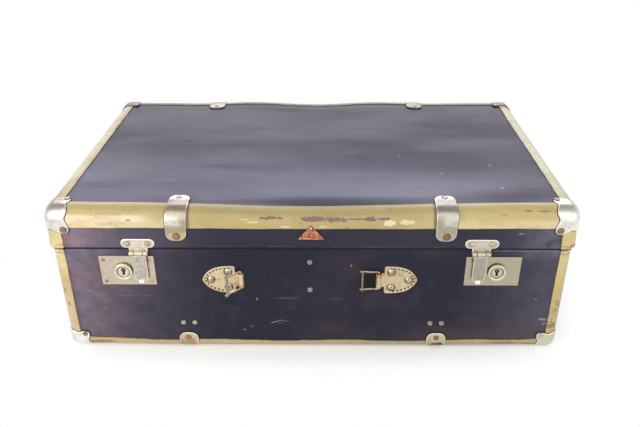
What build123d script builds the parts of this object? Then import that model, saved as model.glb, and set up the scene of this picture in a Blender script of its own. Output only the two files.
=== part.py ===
from build123d import *
import os

# A hand suitcase of vulcanised fibre sheet, closed, standing on its bottom corner caps.
# Millimetres. +X is the case's right, -Y its front, +Z up; the origin is under the middle of the case.
# A "level" is a height above the outer face of the edge bindings, outwards positive.

# Case body
case_width = 598.0  # over the lid's left and right bindings
case_depth = 366.0  # over the lid's front and back bindings
case_height = 194.4  # floor to the lid's top bindings
lid_skirt = 49.8  # top bindings to the lid's lower edge
lid_overlap = 6.0  # how far the lid reaches down over the base
lid_gap = 0.5  # all round, between the lid's walls and the base's walls
lid_edge_radius = 14.0  # outside the lid's bindings
panel_thickness = 1.6
binding_thickness = 1.2
lining_thickness = 0.8

# Edge bindings: width on each face
lid_front_binding_width = 21.5
lid_side_binding_width = 19.0
base_bottom_binding_width = 13.0
base_corner_binding_width = 15.0
binding_end_gap = 0.8  # below the lid's lower edge

# Corner caps and edge clamps
cap_thickness = 1.2
lid_cap_reach = 26.0  # along the edges, from the corner
lid_cap_rivet_inset = 25.5  # rivet to each of the two nearest edges
lid_cap_lobe_radius = 8.0
base_cap_reach = 21.0
base_cap_rivet_inset = 21.0
base_cap_lobe_radius = 6.8
clamp_width = 26.0
clamp_from_end = 148.5  # middle of a clamp to the case's end
clamp_end_radius = 9.0
lid_clamp_drop = 39.0  # down the front or back, from the top bindings
lid_clamp_top = 32.5  # over the top
lid_clamp_rivet_inset = 7.0  # rivet to the end of the clamp
base_clamp_rise = 23.0
base_clamp_under = 25.0
base_clamp_rivet_inset = 6.5

# Rivets and nails
flat_head_radius = 4.2
flat_head_height = 0.8
flat_shank_radius = 1.6
small_head_radius = 3.2
small_head_height = 1.0
small_shank_radius = 1.3
tail_height = 0.7
nail_head_radius = 1.9
nail_head_height = 0.6
nail_shank_radius = 0.8
head_taper = 25.0  # degrees, sides of the heads

# Rim battens inside the base's mouth
batten_thickness = 6.0
batten_height = 12.0

# Front fittings: the line that the locks, handle plates and middle rivets are set out from
fittings_middle = -2.2
bolt_running_gap = 0.15

# Locks and hasps, set out from the middle of the hasp
hasp_from_end = 102.7  # to the end of the base
lock_drop = 31.6  # lid's lower edge to the lock's middle
lock_plate_width = 63.0
lock_plate_height = 38.5
lock_plate_margin = 7.4  # plate beyond the side of the hasp leaf
lock_plate_thickness = 1.0
lock_nail_inset = 4.9
boss_gap = 2.5  # hasp leaf to boss
boss_radius = 10.3
boss_thickness = 3.2
boss_recess_radius = 6.5
boss_recess_depth = 1.3
boss_lift = 0.2  # running gap between boss and plate
neck_size = 8.0
keyhole_radius = 2.3
keyhole_rise = 2.0  # round part above the boss's centre
keyhole_slot_width = 2.2
keyhole_slot_drop = 6.6
keyhole_depth = 4.0
lock_case_depth = 10.0
lock_case_wall = 1.0
lock_case_end_gap = 2.5  # inside, beyond the bolt's tip
lock_case_nail_gap = 0.05
slide_thickness = 3.0
slide_height = 9.0
slide_inner_arm = 9.4  # from the boss's middle
slide_outer_arm = 9.1
bolt_reach = 2.2  # through the staple
bolt_retreat = 1.3  # drawn clear of the staple
bolt_height = 4.0
spring_strip = 0.5
spring_height = 6.0
spring_bow = 4.0
spring_room = 5.5  # left for the spring when the slide is drawn

hasp_anchor_thickness = 1.2
hasp_anchor_width = 38.5
hasp_anchor_height = 13.5
hasp_anchor_rise = 6.3  # lid's lower edge to the anchor's rivets
hasp_rivet_spacing = 22.0
hasp_stem_width = 22.0
hasp_middle_knuckle = 9.6
hasp_axis_drop = 6.4  # lid's lower edge to the hasp's pin
hasp_knuckle_radius = 2.6
hasp_pin_radius = 1.1
pin_running_gap = 0.05
knuckle_gap = 0.3
hasp_leaf_width = 15.8
hasp_leaf_drop = 3.6  # pin to the leaf's top edge
hasp_leaf_length = 35.0
hasp_leaf_thickness = 3.2
hasp_leaf_wall = 1.2
hasp_leaf_chamfer = 4.0
hasp_lip_width = 6.0
hasp_lip_height = 3.0
hasp_lip_thickness = 1.0
hasp_leaf_lift = 0.3  # between the leaf's back edges and the lock plate
staple_thickness = 3.0
staple_height = 8.0
staple_end_wall = 2.0
staple_hole_height = 5.0
staple_hole_depth = 4.4
staple_slot_gap = 0.8
staple_slot_drop = 3.5  # room below the staple for its swing

# Handle plates and loops
plate_tip_out = 124.8
plate_end_out = 86.5
plate_height = 38.0
plate_shoulder = 5.5  # straight part of the outline at the flat end
plate_below_lock = 11.5
plate_thickness = 1.2
plate_rim_width = 2.2
plate_rim_height = 0.7
plate_tip_rivet_inset = 10.0
plate_end_rivet_inset = 8.1
plate_rivet_rise = 10.6
dome_radius = 4.25
dome_shank_radius = 2.0
dome_height = 2.2
eye_out = 80.0
eye_radius = 2.9
tongue_height = 21.4
loop_bar_radius = 1.6
loop_arm_width = 3.0
loop_arm_thickness = 3.2
loop_arm_gap = 0.5  # between tongue and arm
loop_length = 19.0  # eye to cross pin
loop_arm_tail = 4.0  # arm beyond the cross pin
cross_pin_radius = 1.0
cross_pin_head_radius = 2.2
cross_pin_head = 1.0
left_loop_fold = 140.0  # degrees, from flat towards the middle

# Middle rivets, packing-strap anchors and badge
middle_rivet_drops = (20.2, 58.2)  # below the lid's lower edge
middle_anchor_width = 20.0
middle_anchor_margin = 9.0
low_rivet_spacing = 13.7
low_anchor_out = 148.7
low_rivet_height = 38.3
low_anchor_width = 30.0
low_anchor_height = 16.0
anchor_thickness = 1.2
badge_middle = -0.6
badge_width = 29.0
badge_rise = 11.6  # lid's lower edge to the badge
badge_height = 17.4
badge_thickness = 0.6
badge_nail_drop = 3.6  # below the badge's top corner
badge_nail_head_radius = 1.3

# Rear hinges
hinge_from_end = 99.0  # middle of a hinge to the case's end
hinge_width = 56.0
hinge_middle_knuckle = 26.0
hinge_leaf_thickness = 1.0
hinge_knuckle_radius = 2.4
hinge_pin_radius = 1.2
hinge_lid_leaf_height = 23.0
hinge_base_leaf_height = 25.0
hinge_crank_height = 6.5
hinge_rivet_inset = 8.0  # rivet to the leaf's free edge
hinge_rivet_spacing = 19.0

# Worked out from the sizes above
seam_height = case_height - lid_skirt
rim_height = seam_height + lid_overlap
base_inset = panel_thickness + lid_gap  # base bindings inside the lid's bindings
base_width = case_width - 2 * base_inset
base_depth = case_depth - 2 * base_inset
base_edge_radius = lid_edge_radius - base_inset
base_floor = cap_thickness  # underside of the bottom bindings
panel_face = -binding_thickness
panel_back = panel_face - panel_thickness
lining_back = panel_back - lining_thickness
lining_top = rim_height - batten_height
lid_lining_edge = rim_height + 2 * lid_gap
clamp_places = (clamp_from_end - case_width / 2, case_width / 2 - clamp_from_end)
hinge_places = (hinge_from_end - case_width / 2, case_width / 2 - hinge_from_end)
through = 4 * (panel_thickness + binding_thickness)  # more than any wall, for cuts

# Distances out from the fittings' middle line, and heights
hasp_out = base_width / 2 - hasp_from_end
boss_out = hasp_out + hasp_leaf_width / 2 + boss_gap + boss_radius
boss_travel = staple_thickness + bolt_reach + bolt_retreat
bolt_inner_end = hasp_out - staple_thickness / 2 - bolt_reach
slide_inner_end = boss_out - slide_inner_arm
slide_outer_end = boss_out + slide_outer_arm
lock_out = hasp_out - hasp_leaf_width / 2 - lock_plate_margin + lock_plate_width / 2
lock_case_inner_end = bolt_inner_end - lock_case_end_gap - lock_case_wall
lock_case_outer_end = slide_outer_end + boss_travel + spring_room + lock_case_wall
lock_case_height = lock_plate_height - 2 * (lock_nail_inset + nail_shank_radius + lock_case_nail_gap)
lock_height = seam_height - lock_drop
hasp_axis_height = seam_height - hasp_axis_drop
hasp_anchor_centre = seam_height + hasp_anchor_rise
hasp_leaf_top = hasp_axis_height - hasp_leaf_drop
hasp_leaf_bottom = hasp_leaf_top - hasp_leaf_length
plate_centre_height = lock_height - plate_below_lock
middle_rivet_heights = [seam_height - drop for drop in middle_rivet_drops]
badge_bottom = seam_height + badge_rise
badge_top = badge_bottom + badge_height

# Planes on the binding faces: local x to the viewer's right of that face, local y up (or back, on top)
lid_front = Plane(origin=(0, -case_depth / 2, 0), x_dir=(1, 0, 0), z_dir=(0, -1, 0))
lid_back = Plane(origin=(0, case_depth / 2, 0), x_dir=(-1, 0, 0), z_dir=(0, 1, 0))
lid_left = Plane(origin=(-case_width / 2, 0, 0), x_dir=(0, -1, 0), z_dir=(-1, 0, 0))
lid_right = Plane(origin=(case_width / 2, 0, 0), x_dir=(0, 1, 0), z_dir=(1, 0, 0))
lid_top = Plane(origin=(0, 0, case_height), x_dir=(1, 0, 0), z_dir=(0, 0, 1))
base_front = lid_front.offset(-base_inset)
base_back = lid_back.offset(-base_inset)
base_left = lid_left.offset(-base_inset)
base_right = lid_right.offset(-base_inset)
base_bottom = Plane(origin=(0, 0, base_floor), x_dir=(1, 0, 0), z_dir=(0, 0, -1))
middle_plane = Plane.YZ.offset(fittings_middle)

up, down = Vector(0, 0, 1), Vector(0, 0, -1)
front, back = Vector(0, -1, 0), Vector(0, 1, 0)
left, right = Vector(-1, 0, 0), Vector(1, 0, 0)


def lid_block(level, edge):
    """The lid's closed outer form at a level, cut off flat at the height edge."""
    with BuildPart() as block:
        with BuildSketch(Plane.XY.offset(edge)):
            Rectangle(case_width + 2 * level, case_depth + 2 * level)
        extrude(amount=case_height + level - edge)
        rounded = block.edges().filter_by(Axis.Z) + block.faces().sort_by(Axis.Z)[-1].edges()
        fillet(rounded, lid_edge_radius + level)
    return block.part


def base_block(level, edge):
    """The base's closed outer form at a level, cut off flat at the height edge."""
    with BuildPart() as block:
        with BuildSketch(Plane.XY.offset(base_floor - level)):
            Rectangle(base_width + 2 * level, base_depth + 2 * level)
        extrude(amount=edge - base_floor + level)
        rounded = block.edges().filter_by(Axis.Z) + block.faces().sort_by(Axis.Z)[0].edges()
        fillet(rounded, base_edge_radius + level)
    return block.part


def lid_layer(outer, inner, edge):
    """A skin of the lid between two levels, open below the height edge."""
    with BuildPart() as layer:
        add(lid_block(outer, edge))
        add(lid_block(inner, edge - through), mode=Mode.SUBTRACT)
    return layer.part


def base_layer(outer, inner, edge):
    """A skin of the base between two levels, open above the height edge."""
    with BuildPart() as layer:
        add(base_block(outer, edge))
        add(base_block(inner, edge + through), mode=Mode.SUBTRACT)
    return layer.part


# Where the rounding of each edge is centred, as half sizes along X, Y and Z
lid_rounding = Vector(case_width / 2, case_depth / 2, case_height) - Vector(1, 1, 1) * lid_edge_radius
base_rounding = Vector(
    base_width / 2 - base_edge_radius,
    base_depth / 2 - base_edge_radius,
    -(base_floor + base_edge_radius),
)


def butt(facing, neighbours, rounding):
    """Cuts the skin in the current part down to the sheet that faces one way, butted at 45 degrees."""
    for other in neighbours:
        both = facing + other
        corner = (both.X * rounding.X, both.Y * rounding.Y, both.Z * rounding.Z)
        split(bisect_by=Plane(origin=corner, z_dir=facing - other), keep=Keep.TOP)


def drill(plane, radius, points):
    """Holes through the wall at a plane, in the current part."""
    with BuildSketch(plane.offset(-through / 2)) as holes:
        with Locations(*points):
            Circle(radius)
    extrude(holes.sketch, amount=through, mode=Mode.SUBTRACT)


def rivet(plane, points, seat, grip, head_radius, head_height, shank_radius, taper=head_taper):
    """Rivets in the current part: heads standing on the level seat, shanks going in by the grip."""
    with BuildSketch(plane.offset(seat)) as heads:
        with Locations(*points):
            Circle(head_radius)
    extrude(heads.sketch, amount=head_height, taper=taper)
    with BuildSketch(plane.offset(seat - grip)) as shanks:
        with Locations(*points):
            Circle(shank_radius)
    extrude(shanks.sketch, amount=grip)


def cap_rivets(faces):
    """Flat-headed rivets through caps or clamps and the panels, for a list of (plane, points)."""
    for plane, points in faces:
        rivet(
            plane,
            points,
            cap_thickness,
            cap_thickness - panel_back,
            flat_head_radius,
            flat_head_height,
            flat_shank_radius,
        )


def sunk_rivets(points):
    """Rivets through the case's bottom, their heads flush with the underside of the caps and clamps."""
    rivet(base_bottom, points, 0, -panel_back, flat_head_radius, cap_thickness, flat_shank_radius, 0)


def edge_strip(corner, length, down_width, in_width, radius, inner, outer):
    """An L-section strip round an edge, between two levels.

    corner lies on the sharp outer corner, local x down one face, local y in over the other."""
    with BuildPart() as strip:
        with BuildSketch(corner):
            with BuildLine():
                near = FilletPolyline(
                    (down_width, -inner), (-inner, -inner), (-inner, in_width), radius=radius + inner
                )
                far = FilletPolyline(
                    (down_width, -outer), (-outer, -outer), (-outer, in_width), radius=radius + outer
                )
                Line(near @ 0, far @ 0)
                Line(near @ 1, far @ 1)
            make_face()
        extrude(amount=length)
    return strip.part


def cap_trim(faces, width, depth, height, reach, lobe_radius):
    """What a set of corner caps may cover: a block at each corner and a round lobe on each face."""
    with BuildPart() as trim:
        with Locations(*[(x, y, height) for x in (-width / 2, width / 2) for y in (-depth / 2, depth / 2)]):
            Box(2 * reach, 2 * reach, 2 * reach)
        for plane, points in faces:
            with BuildSketch(plane.offset(-2 * cap_thickness)):
                with Locations(*points):
                    Circle(lobe_radius)
            extrude(amount=4 * cap_thickness)
    return trim.part


def to_side(part, side):
    """A piece drawn for the right, on the side that is asked for."""
    return part if side == "right" else mirror(part, about=middle_plane)


# Rivet places on each face, as seen on that face's plane
def corners_of(width, height, inset):
    """Points inset from the upper two corners of a face of that width, whose edge is at that height."""
    return [(-width / 2 + inset, height), (width / 2 - inset, height)]


lid_cap_height = case_height - lid_cap_rivet_inset
lid_cap_wide = corners_of(case_width, lid_cap_height, lid_cap_rivet_inset)
lid_cap_deep = corners_of(case_depth, lid_cap_height, lid_cap_rivet_inset)
lid_cap_over = [
    (x, y)
    for x, _ in lid_cap_wide
    for y in (-case_depth / 2 + lid_cap_rivet_inset, case_depth / 2 - lid_cap_rivet_inset)
]
base_cap_height = base_floor + base_cap_rivet_inset
base_cap_wide = corners_of(base_width, base_cap_height, base_cap_rivet_inset)
base_cap_deep = corners_of(base_depth, base_cap_height, base_cap_rivet_inset)
base_cap_under = [
    (x, y)
    for x, _ in base_cap_wide
    for y in (-base_depth / 2 + base_cap_rivet_inset, base_depth / 2 - base_cap_rivet_inset)
]
lid_clamp_wall = [(x, case_height - lid_clamp_drop + lid_clamp_rivet_inset) for x in clamp_places]
lid_clamp_over = [
    (x, side * (case_depth / 2 - lid_clamp_top + lid_clamp_rivet_inset))
    for x in clamp_places
    for side in (-1, 1)
]
base_clamp_wall = [(x, base_floor + base_clamp_rise - base_clamp_rivet_inset) for x in clamp_places]
base_clamp_beneath = [
    (x, side * (base_depth / 2 - base_clamp_under + base_clamp_rivet_inset))
    for x in clamp_places
    for side in (-1, 1)
]
hasp_rivet_places = [
    (fittings_middle + side * (hasp_out + offset), hasp_anchor_centre)
    for side in (-1, 1)
    for offset in (-hasp_rivet_spacing / 2, hasp_rivet_spacing / 2)
]
lock_nail_places = [
    (fittings_middle + side * (lock_out + across), lock_height + up_down)
    for side in (-1, 1)
    for across in (-lock_plate_width / 2 + lock_nail_inset, lock_plate_width / 2 - lock_nail_inset)
    for up_down in (-lock_plate_height / 2 + lock_nail_inset, lock_plate_height / 2 - lock_nail_inset)
]
plate_rivet_places = [
    (fittings_middle + side * out, plate_centre_height + rise)
    for side in (-1, 1)
    for out, rise in (
        (plate_tip_out - plate_tip_rivet_inset, 0),
        (plate_end_out + plate_end_rivet_inset, plate_rivet_rise),
        (plate_end_out + plate_end_rivet_inset, -plate_rivet_rise),
    )
]
middle_rivet_places = [(fittings_middle, height) for height in middle_rivet_heights]
low_rivet_places = [
    (side * low_anchor_out + offset, low_rivet_height)
    for side in (-1, 1)
    for offset in (-low_rivet_spacing / 2, low_rivet_spacing / 2)
]
badge_nail_place = [(badge_middle, badge_top - badge_nail_drop)]
hinge_columns = [
    place + offset for place in hinge_places for offset in (-hinge_rivet_spacing, 0, hinge_rivet_spacing)
]
hinge_lid_rivet_places = [
    (x, seam_height + hinge_lid_leaf_height - hinge_rivet_inset) for x in hinge_columns
]
hinge_base_rivet_places = [
    (x, seam_height - hinge_base_leaf_height + hinge_rivet_inset) for x in hinge_columns
]

lid_wall_caps = (
    (lid_front, lid_cap_wide),
    (lid_back, lid_cap_wide),
    (lid_left, lid_cap_deep),
    (lid_right, lid_cap_deep),
)
base_wall_caps = (
    (base_front, base_cap_wide),
    (base_back, base_cap_wide),
    (base_left, base_cap_deep),
    (base_right, base_cap_deep),
)

os.makedirs("parts", exist_ok=True)


# Lid panels: fibre sheet, its edges bent to the edge radius and butted under the bindings
lid_skin = lid_layer(panel_face, panel_back, seam_height)

with BuildPart() as lid_top_panel:
    add(lid_skin)
    butt(up, (front, back, left, right), lid_rounding)
    drill(lid_top, flat_shank_radius, lid_cap_over + lid_clamp_over)
lid_top_panel.part.label = "lid_top_panel"
export_step(lid_top_panel.part, "parts/lid_top_panel.step")

with BuildPart() as lid_front_panel:
    add(lid_skin)
    butt(front, (up, left, right), lid_rounding)
    drill(lid_front, flat_shank_radius, lid_cap_wide + lid_clamp_wall)
    drill(lid_front, small_shank_radius, hasp_rivet_places)
    drill(lid_front, nail_shank_radius, badge_nail_place)
lid_front_panel.part.label = "lid_front_panel"
export_step(lid_front_panel.part, "parts/lid_front_panel.step")

with BuildPart() as lid_back_panel:
    add(lid_skin)
    butt(back, (up, left, right), lid_rounding)
    drill(lid_back, flat_shank_radius, lid_cap_wide + lid_clamp_wall)
    drill(lid_back, small_shank_radius, hinge_lid_rivet_places)
lid_back_panel.part.label = "lid_back_panel"
export_step(lid_back_panel.part, "parts/lid_back_panel.step")

with BuildPart() as lid_left_panel:
    add(lid_skin)
    butt(left, (up, front, back), lid_rounding)
    drill(lid_left, flat_shank_radius, lid_cap_deep)
lid_left_panel.part.label = "lid_left_panel"
export_step(lid_left_panel.part, "parts/lid_left_panel.step")

with BuildPart() as lid_right_panel:
    add(lid_skin)
    butt(right, (up, front, back), lid_rounding)
    drill(lid_right, flat_shank_radius, lid_cap_deep)
lid_right_panel.part.label = "lid_right_panel"
export_step(lid_right_panel.part, "parts/lid_right_panel.step")

# Lid lining: one tray of covered card glued inside the panels, clear of the base's rim
with BuildPart() as lid_lining:
    add(lid_layer(panel_back, lining_back, lid_lining_edge))
lid_lining.part.label = "lid_lining"
export_step(lid_lining.part, "parts/lid_lining.step")

# Lid bindings: bent fibre strips over the four top edges, and short ones down the four corners
with BuildPart() as lid_edge_bindings:
    add(
        edge_strip(
            Plane(
                origin=(-case_width / 2 + lid_side_binding_width, -case_depth / 2, case_height),
                x_dir=down,
                z_dir=right,
            ),
            case_width - 2 * lid_side_binding_width,
            lid_front_binding_width,
            lid_front_binding_width,
            lid_edge_radius,
            panel_face,
            0,
        )
    )
    add(
        edge_strip(
            Plane(
                origin=(-case_width / 2, case_depth / 2 - lid_front_binding_width, case_height),
                x_dir=down,
                z_dir=front,
            ),
            case_depth - 2 * lid_front_binding_width,
            lid_side_binding_width,
            lid_side_binding_width,
            lid_edge_radius,
            panel_face,
            0,
        )
    )
    mirror(about=Plane.XZ)
    mirror(about=Plane.YZ)
lid_edge_bindings.part.label = "lid_edge_bindings"
export_step(lid_edge_bindings.part, "parts/lid_edge_bindings.step")

with BuildPart() as lid_corner_bindings:
    add(
        edge_strip(
            Plane(origin=(-case_width / 2, -case_depth / 2, seam_height), x_dir=right, z_dir=up),
            lid_skirt - lid_front_binding_width,
            lid_side_binding_width,
            lid_side_binding_width,
            lid_edge_radius,
            panel_face,
            0,
        )
    )
    mirror(about=Plane.XZ)
    mirror(about=Plane.YZ)
lid_corner_bindings.part.label = "lid_corner_bindings"
export_step(lid_corner_bindings.part, "parts/lid_corner_bindings.step")

# Lid corner caps: pressed steel balls with a riveted lobe on each of the three faces
with BuildPart() as lid_corner_caps:
    add(lid_layer(cap_thickness, 0, seam_height))
    add(
        cap_trim(
            lid_wall_caps + ((lid_top, lid_cap_over),),
            case_width,
            case_depth,
            case_height,
            lid_cap_reach,
            lid_cap_lobe_radius,
        ),
        mode=Mode.INTERSECT,
    )
    for plane, points in lid_wall_caps + ((lid_top, lid_cap_over),):
        drill(plane, flat_shank_radius, points)
lid_corner_caps.part.label = "lid_corner_caps"
export_step(lid_corner_caps.part, "parts/lid_corner_caps.step")

with BuildPart() as lid_cap_rivets:
    cap_rivets(lid_wall_caps + ((lid_top, lid_cap_over),))
lid_cap_rivets.part.label = "lid_cap_rivets"
export_step(lid_cap_rivets.part, "parts/lid_cap_rivets.step")

# Lid edge clamps: steel strips bent over the front and back bindings, with round ends
with BuildPart() as lid_edge_clamps:
    for place in clamp_places:
        add(
            edge_strip(
                Plane(
                    origin=(place - clamp_width / 2, -case_depth / 2, case_height), x_dir=down, z_dir=right
                ),
                clamp_width,
                lid_clamp_drop,
                lid_clamp_top,
                lid_edge_radius,
                0,
                cap_thickness,
            )
        )
    fillet(lid_edge_clamps.edges().filter_by(Axis.Y).group_by(Axis.Z)[0], clamp_end_radius)
    fillet(lid_edge_clamps.edges().filter_by(Axis.Z).group_by(Axis.Y)[-1], clamp_end_radius)
    mirror(about=Plane.XZ)
    drill(lid_front, flat_shank_radius, lid_clamp_wall)
    drill(lid_back, flat_shank_radius, lid_clamp_wall)
    drill(lid_top, flat_shank_radius, lid_clamp_over)
lid_edge_clamps.part.label = "lid_edge_clamps"
export_step(lid_edge_clamps.part, "parts/lid_edge_clamps.step")

with BuildPart() as lid_clamp_rivets:
    cap_rivets(((lid_front, lid_clamp_wall), (lid_back, lid_clamp_wall), (lid_top, lid_clamp_over)))
lid_clamp_rivets.part.label = "lid_clamp_rivets"
export_step(lid_clamp_rivets.part, "parts/lid_clamp_rivets.step")

# Base panels: made as the lid's, with windows in the front for the locks
base_skin = base_layer(panel_face, panel_back, rim_height)
fittings_front = Plane(origin=(fittings_middle, -base_depth / 2, 0), x_dir=right, z_dir=front)
plate_front = panel_face + lock_plate_thickness
staple_top = lock_height + staple_height / 2


def lock_windows(sides):
    """Cuts a lock's sliding slot and staple slot through plate and panel, in the current part."""
    slot_length = neck_size + boss_travel + 2 * bolt_running_gap
    staple_slot_height = staple_height + staple_slot_gap + staple_slot_drop
    with BuildSketch(fittings_front.offset(-through / 2)) as windows:
        with Locations(*[(side * (boss_out + boss_travel / 2), lock_height) for side in sides]):
            Rectangle(slot_length, neck_size + 2 * bolt_running_gap)
        with Locations(
            *[(side * hasp_out, staple_top + staple_slot_gap - staple_slot_height / 2) for side in sides]
        ):
            Rectangle(staple_thickness + 2 * staple_slot_gap, staple_slot_height)
    extrude(windows.sketch, amount=through, mode=Mode.SUBTRACT)


with BuildPart() as base_front_panel:
    add(base_skin)
    butt(front, (down, left, right), base_rounding)
    drill(base_front, flat_shank_radius, base_cap_wide + base_clamp_wall)
    drill(base_front, small_shank_radius, middle_rivet_places + low_rivet_places)
    drill(base_front, dome_shank_radius, plate_rivet_places)
    drill(base_front, nail_shank_radius, lock_nail_places)
    lock_windows((-1, 1))
base_front_panel.part.label = "base_front_panel"
export_step(base_front_panel.part, "parts/base_front_panel.step")

with BuildPart() as base_back_panel:
    add(base_skin)
    butt(back, (down, left, right), base_rounding)
    drill(base_back, flat_shank_radius, base_cap_wide + base_clamp_wall)
    drill(base_back, small_shank_radius, hinge_base_rivet_places)
base_back_panel.part.label = "base_back_panel"
export_step(base_back_panel.part, "parts/base_back_panel.step")

with BuildPart() as base_left_panel:
    add(base_skin)
    butt(left, (down, front, back), base_rounding)
    drill(base_left, flat_shank_radius, base_cap_deep)
base_left_panel.part.label = "base_left_panel"
export_step(base_left_panel.part, "parts/base_left_panel.step")

with BuildPart() as base_right_panel:
    add(base_skin)
    butt(right, (down, front, back), base_rounding)
    drill(base_right, flat_shank_radius, base_cap_deep)
base_right_panel.part.label = "base_right_panel"
export_step(base_right_panel.part, "parts/base_right_panel.step")

with BuildPart() as base_bottom_panel:
    add(base_skin)
    butt(down, (front, back, left, right), base_rounding)
    drill(base_bottom, flat_shank_radius, base_cap_under + base_clamp_beneath)
base_bottom_panel.part.label = "base_bottom_panel"
export_step(base_bottom_panel.part, "parts/base_bottom_panel.step")

# Base lining: a tray up to the rim battens, cut out round the lock cases
with BuildPart() as base_lining:
    add(base_layer(panel_back, lining_back, lining_top))
    drill(base_front, small_shank_radius, middle_rivet_places + low_rivet_places)
    with BuildSketch(fittings_front.offset(panel_back)):
        with Locations((-lock_out, lock_height), (lock_out, lock_height)):
            Rectangle(lock_plate_width + 2 * knuckle_gap, lock_plate_height + 2 * knuckle_gap)
    extrude(amount=-through, mode=Mode.SUBTRACT)
base_lining.part.label = "base_lining"
export_step(base_lining.part, "parts/base_lining.step")

# Rim battens: four wooden laths stiffening the base's mouth
with BuildPart() as base_rim_battens:
    for plane, length in (
        (base_front, 2 * base_rounding.X),
        (base_back, 2 * base_rounding.X),
        (base_left, 2 * base_rounding.Y),
        (base_right, 2 * base_rounding.Y),
    ):
        with BuildSketch(plane.offset(panel_back)):
            with Locations((0, rim_height - batten_height / 2)):
                Rectangle(length, batten_height)
        extrude(amount=-batten_thickness)
base_rim_battens.part.label = "base_rim_battens"
export_step(base_rim_battens.part, "parts/base_rim_battens.step")

# Base bindings: round the four bottom edges, and up the four corners to just under the lid
with BuildPart() as base_bottom_bindings:
    add(
        edge_strip(
            Plane(
                origin=(-base_width / 2 + base_bottom_binding_width, base_depth / 2, base_floor),
                x_dir=up,
                z_dir=right,
            ),
            base_width - 2 * base_bottom_binding_width,
            base_bottom_binding_width,
            base_bottom_binding_width,
            base_edge_radius,
            panel_face,
            0,
        )
    )
    add(
        edge_strip(
            Plane(
                origin=(-base_width / 2, base_depth / 2 - base_bottom_binding_width, base_floor),
                x_dir=right,
                z_dir=front,
            ),
            base_depth - 2 * base_bottom_binding_width,
            base_bottom_binding_width,
            base_bottom_binding_width,
            base_edge_radius,
            panel_face,
            0,
        )
    )
    mirror(about=Plane.XZ)
    mirror(about=Plane.YZ)
base_bottom_bindings.part.label = "base_bottom_bindings"
export_step(base_bottom_bindings.part, "parts/base_bottom_bindings.step")

with BuildPart() as base_corner_bindings:
    add(
        edge_strip(
            Plane(
                origin=(-base_width / 2, -base_depth / 2, base_floor + base_bottom_binding_width),
                x_dir=right,
                z_dir=up,
            ),
            seam_height - binding_end_gap - base_floor - base_bottom_binding_width,
            base_corner_binding_width,
            base_corner_binding_width,
            base_edge_radius,
            panel_face,
            0,
        )
    )
    mirror(about=Plane.XZ)
    mirror(about=Plane.YZ)
base_corner_bindings.part.label = "base_corner_bindings"
export_step(base_corner_bindings.part, "parts/base_corner_bindings.step")

# Base corner caps, which the case stands on; rivet heads are flush underneath
with BuildPart() as base_corner_caps:
    add(base_layer(cap_thickness, 0, seam_height))
    add(
        cap_trim(
            base_wall_caps + ((base_bottom, base_cap_under),),
            base_width,
            base_depth,
            base_floor,
            base_cap_reach,
            base_cap_lobe_radius,
        ),
        mode=Mode.INTERSECT,
    )
    for plane, points in base_wall_caps:
        drill(plane, flat_shank_radius, points)
    drill(base_bottom, flat_head_radius, base_cap_under)
base_corner_caps.part.label = "base_corner_caps"
export_step(base_corner_caps.part, "parts/base_corner_caps.step")

with BuildPart() as base_cap_rivets:
    cap_rivets(base_wall_caps)
    sunk_rivets(base_cap_under)
base_cap_rivets.part.label = "base_cap_rivets"
export_step(base_cap_rivets.part, "parts/base_cap_rivets.step")

# Base edge clamps, round the bottom edges below the lid's clamps
with BuildPart() as base_edge_clamps:
    for place in clamp_places:
        add(
            edge_strip(
                Plane(
                    origin=(place - clamp_width / 2, base_depth / 2, base_floor), x_dir=up, z_dir=right
                ),
                clamp_width,
                base_clamp_rise,
                base_clamp_under,
                base_edge_radius,
                0,
                cap_thickness,
            )
        )
    fillet(base_edge_clamps.edges().filter_by(Axis.Y).group_by(Axis.Z)[-1], clamp_end_radius)
    fillet(base_edge_clamps.edges().filter_by(Axis.Z).group_by(Axis.Y)[0], clamp_end_radius)
    mirror(about=Plane.XZ)
    drill(base_front, flat_shank_radius, base_clamp_wall)
    drill(base_back, flat_shank_radius, base_clamp_wall)
    drill(base_bottom, flat_head_radius, base_clamp_beneath)
base_edge_clamps.part.label = "base_edge_clamps"
export_step(base_edge_clamps.part, "parts/base_edge_clamps.step")

with BuildPart() as base_clamp_rivets:
    cap_rivets(((base_front, base_clamp_wall), (base_back, base_clamp_wall)))
    sunk_rivets(base_clamp_beneath)
base_clamp_rivets.part.label = "base_clamp_rivets"
export_step(base_clamp_rivets.part, "parts/base_clamp_rivets.step")

# Packing-strap anchors: steel plates inside the front wall, with the rivets that show outside
with BuildPart() as strap_anchors:
    with BuildSketch(base_front.offset(lining_back)):
        with Locations((fittings_middle, sum(middle_rivet_heights) / 2)):
            Rectangle(
                middle_anchor_width,
                max(middle_rivet_heights) - min(middle_rivet_heights) + 2 * middle_anchor_margin,
            )
        with Locations((-low_anchor_out, low_rivet_height), (low_anchor_out, low_rivet_height)):
            Rectangle(low_anchor_width, low_anchor_height)
    extrude(amount=-anchor_thickness)
    drill(base_front, small_shank_radius, middle_rivet_places + low_rivet_places)
strap_anchors.part.label = "strap_anchors"
export_step(strap_anchors.part, "parts/strap_anchors.step")

with BuildPart() as front_wall_rivets:
    anchor_grip = panel_face - lining_back + anchor_thickness
    rivet(
        base_front,
        middle_rivet_places + low_rivet_places,
        panel_face,
        anchor_grip,
        small_head_radius,
        small_head_height,
        small_shank_radius,
    )
    with BuildSketch(base_front.offset(panel_face - anchor_grip)):
        with Locations(*(middle_rivet_places + low_rivet_places)):
            Circle(small_head_radius)
    extrude(amount=-tail_height)
front_wall_rivets.part.label = "front_wall_rivets"
export_step(front_wall_rivets.part, "parts/front_wall_rivets.step")

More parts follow.
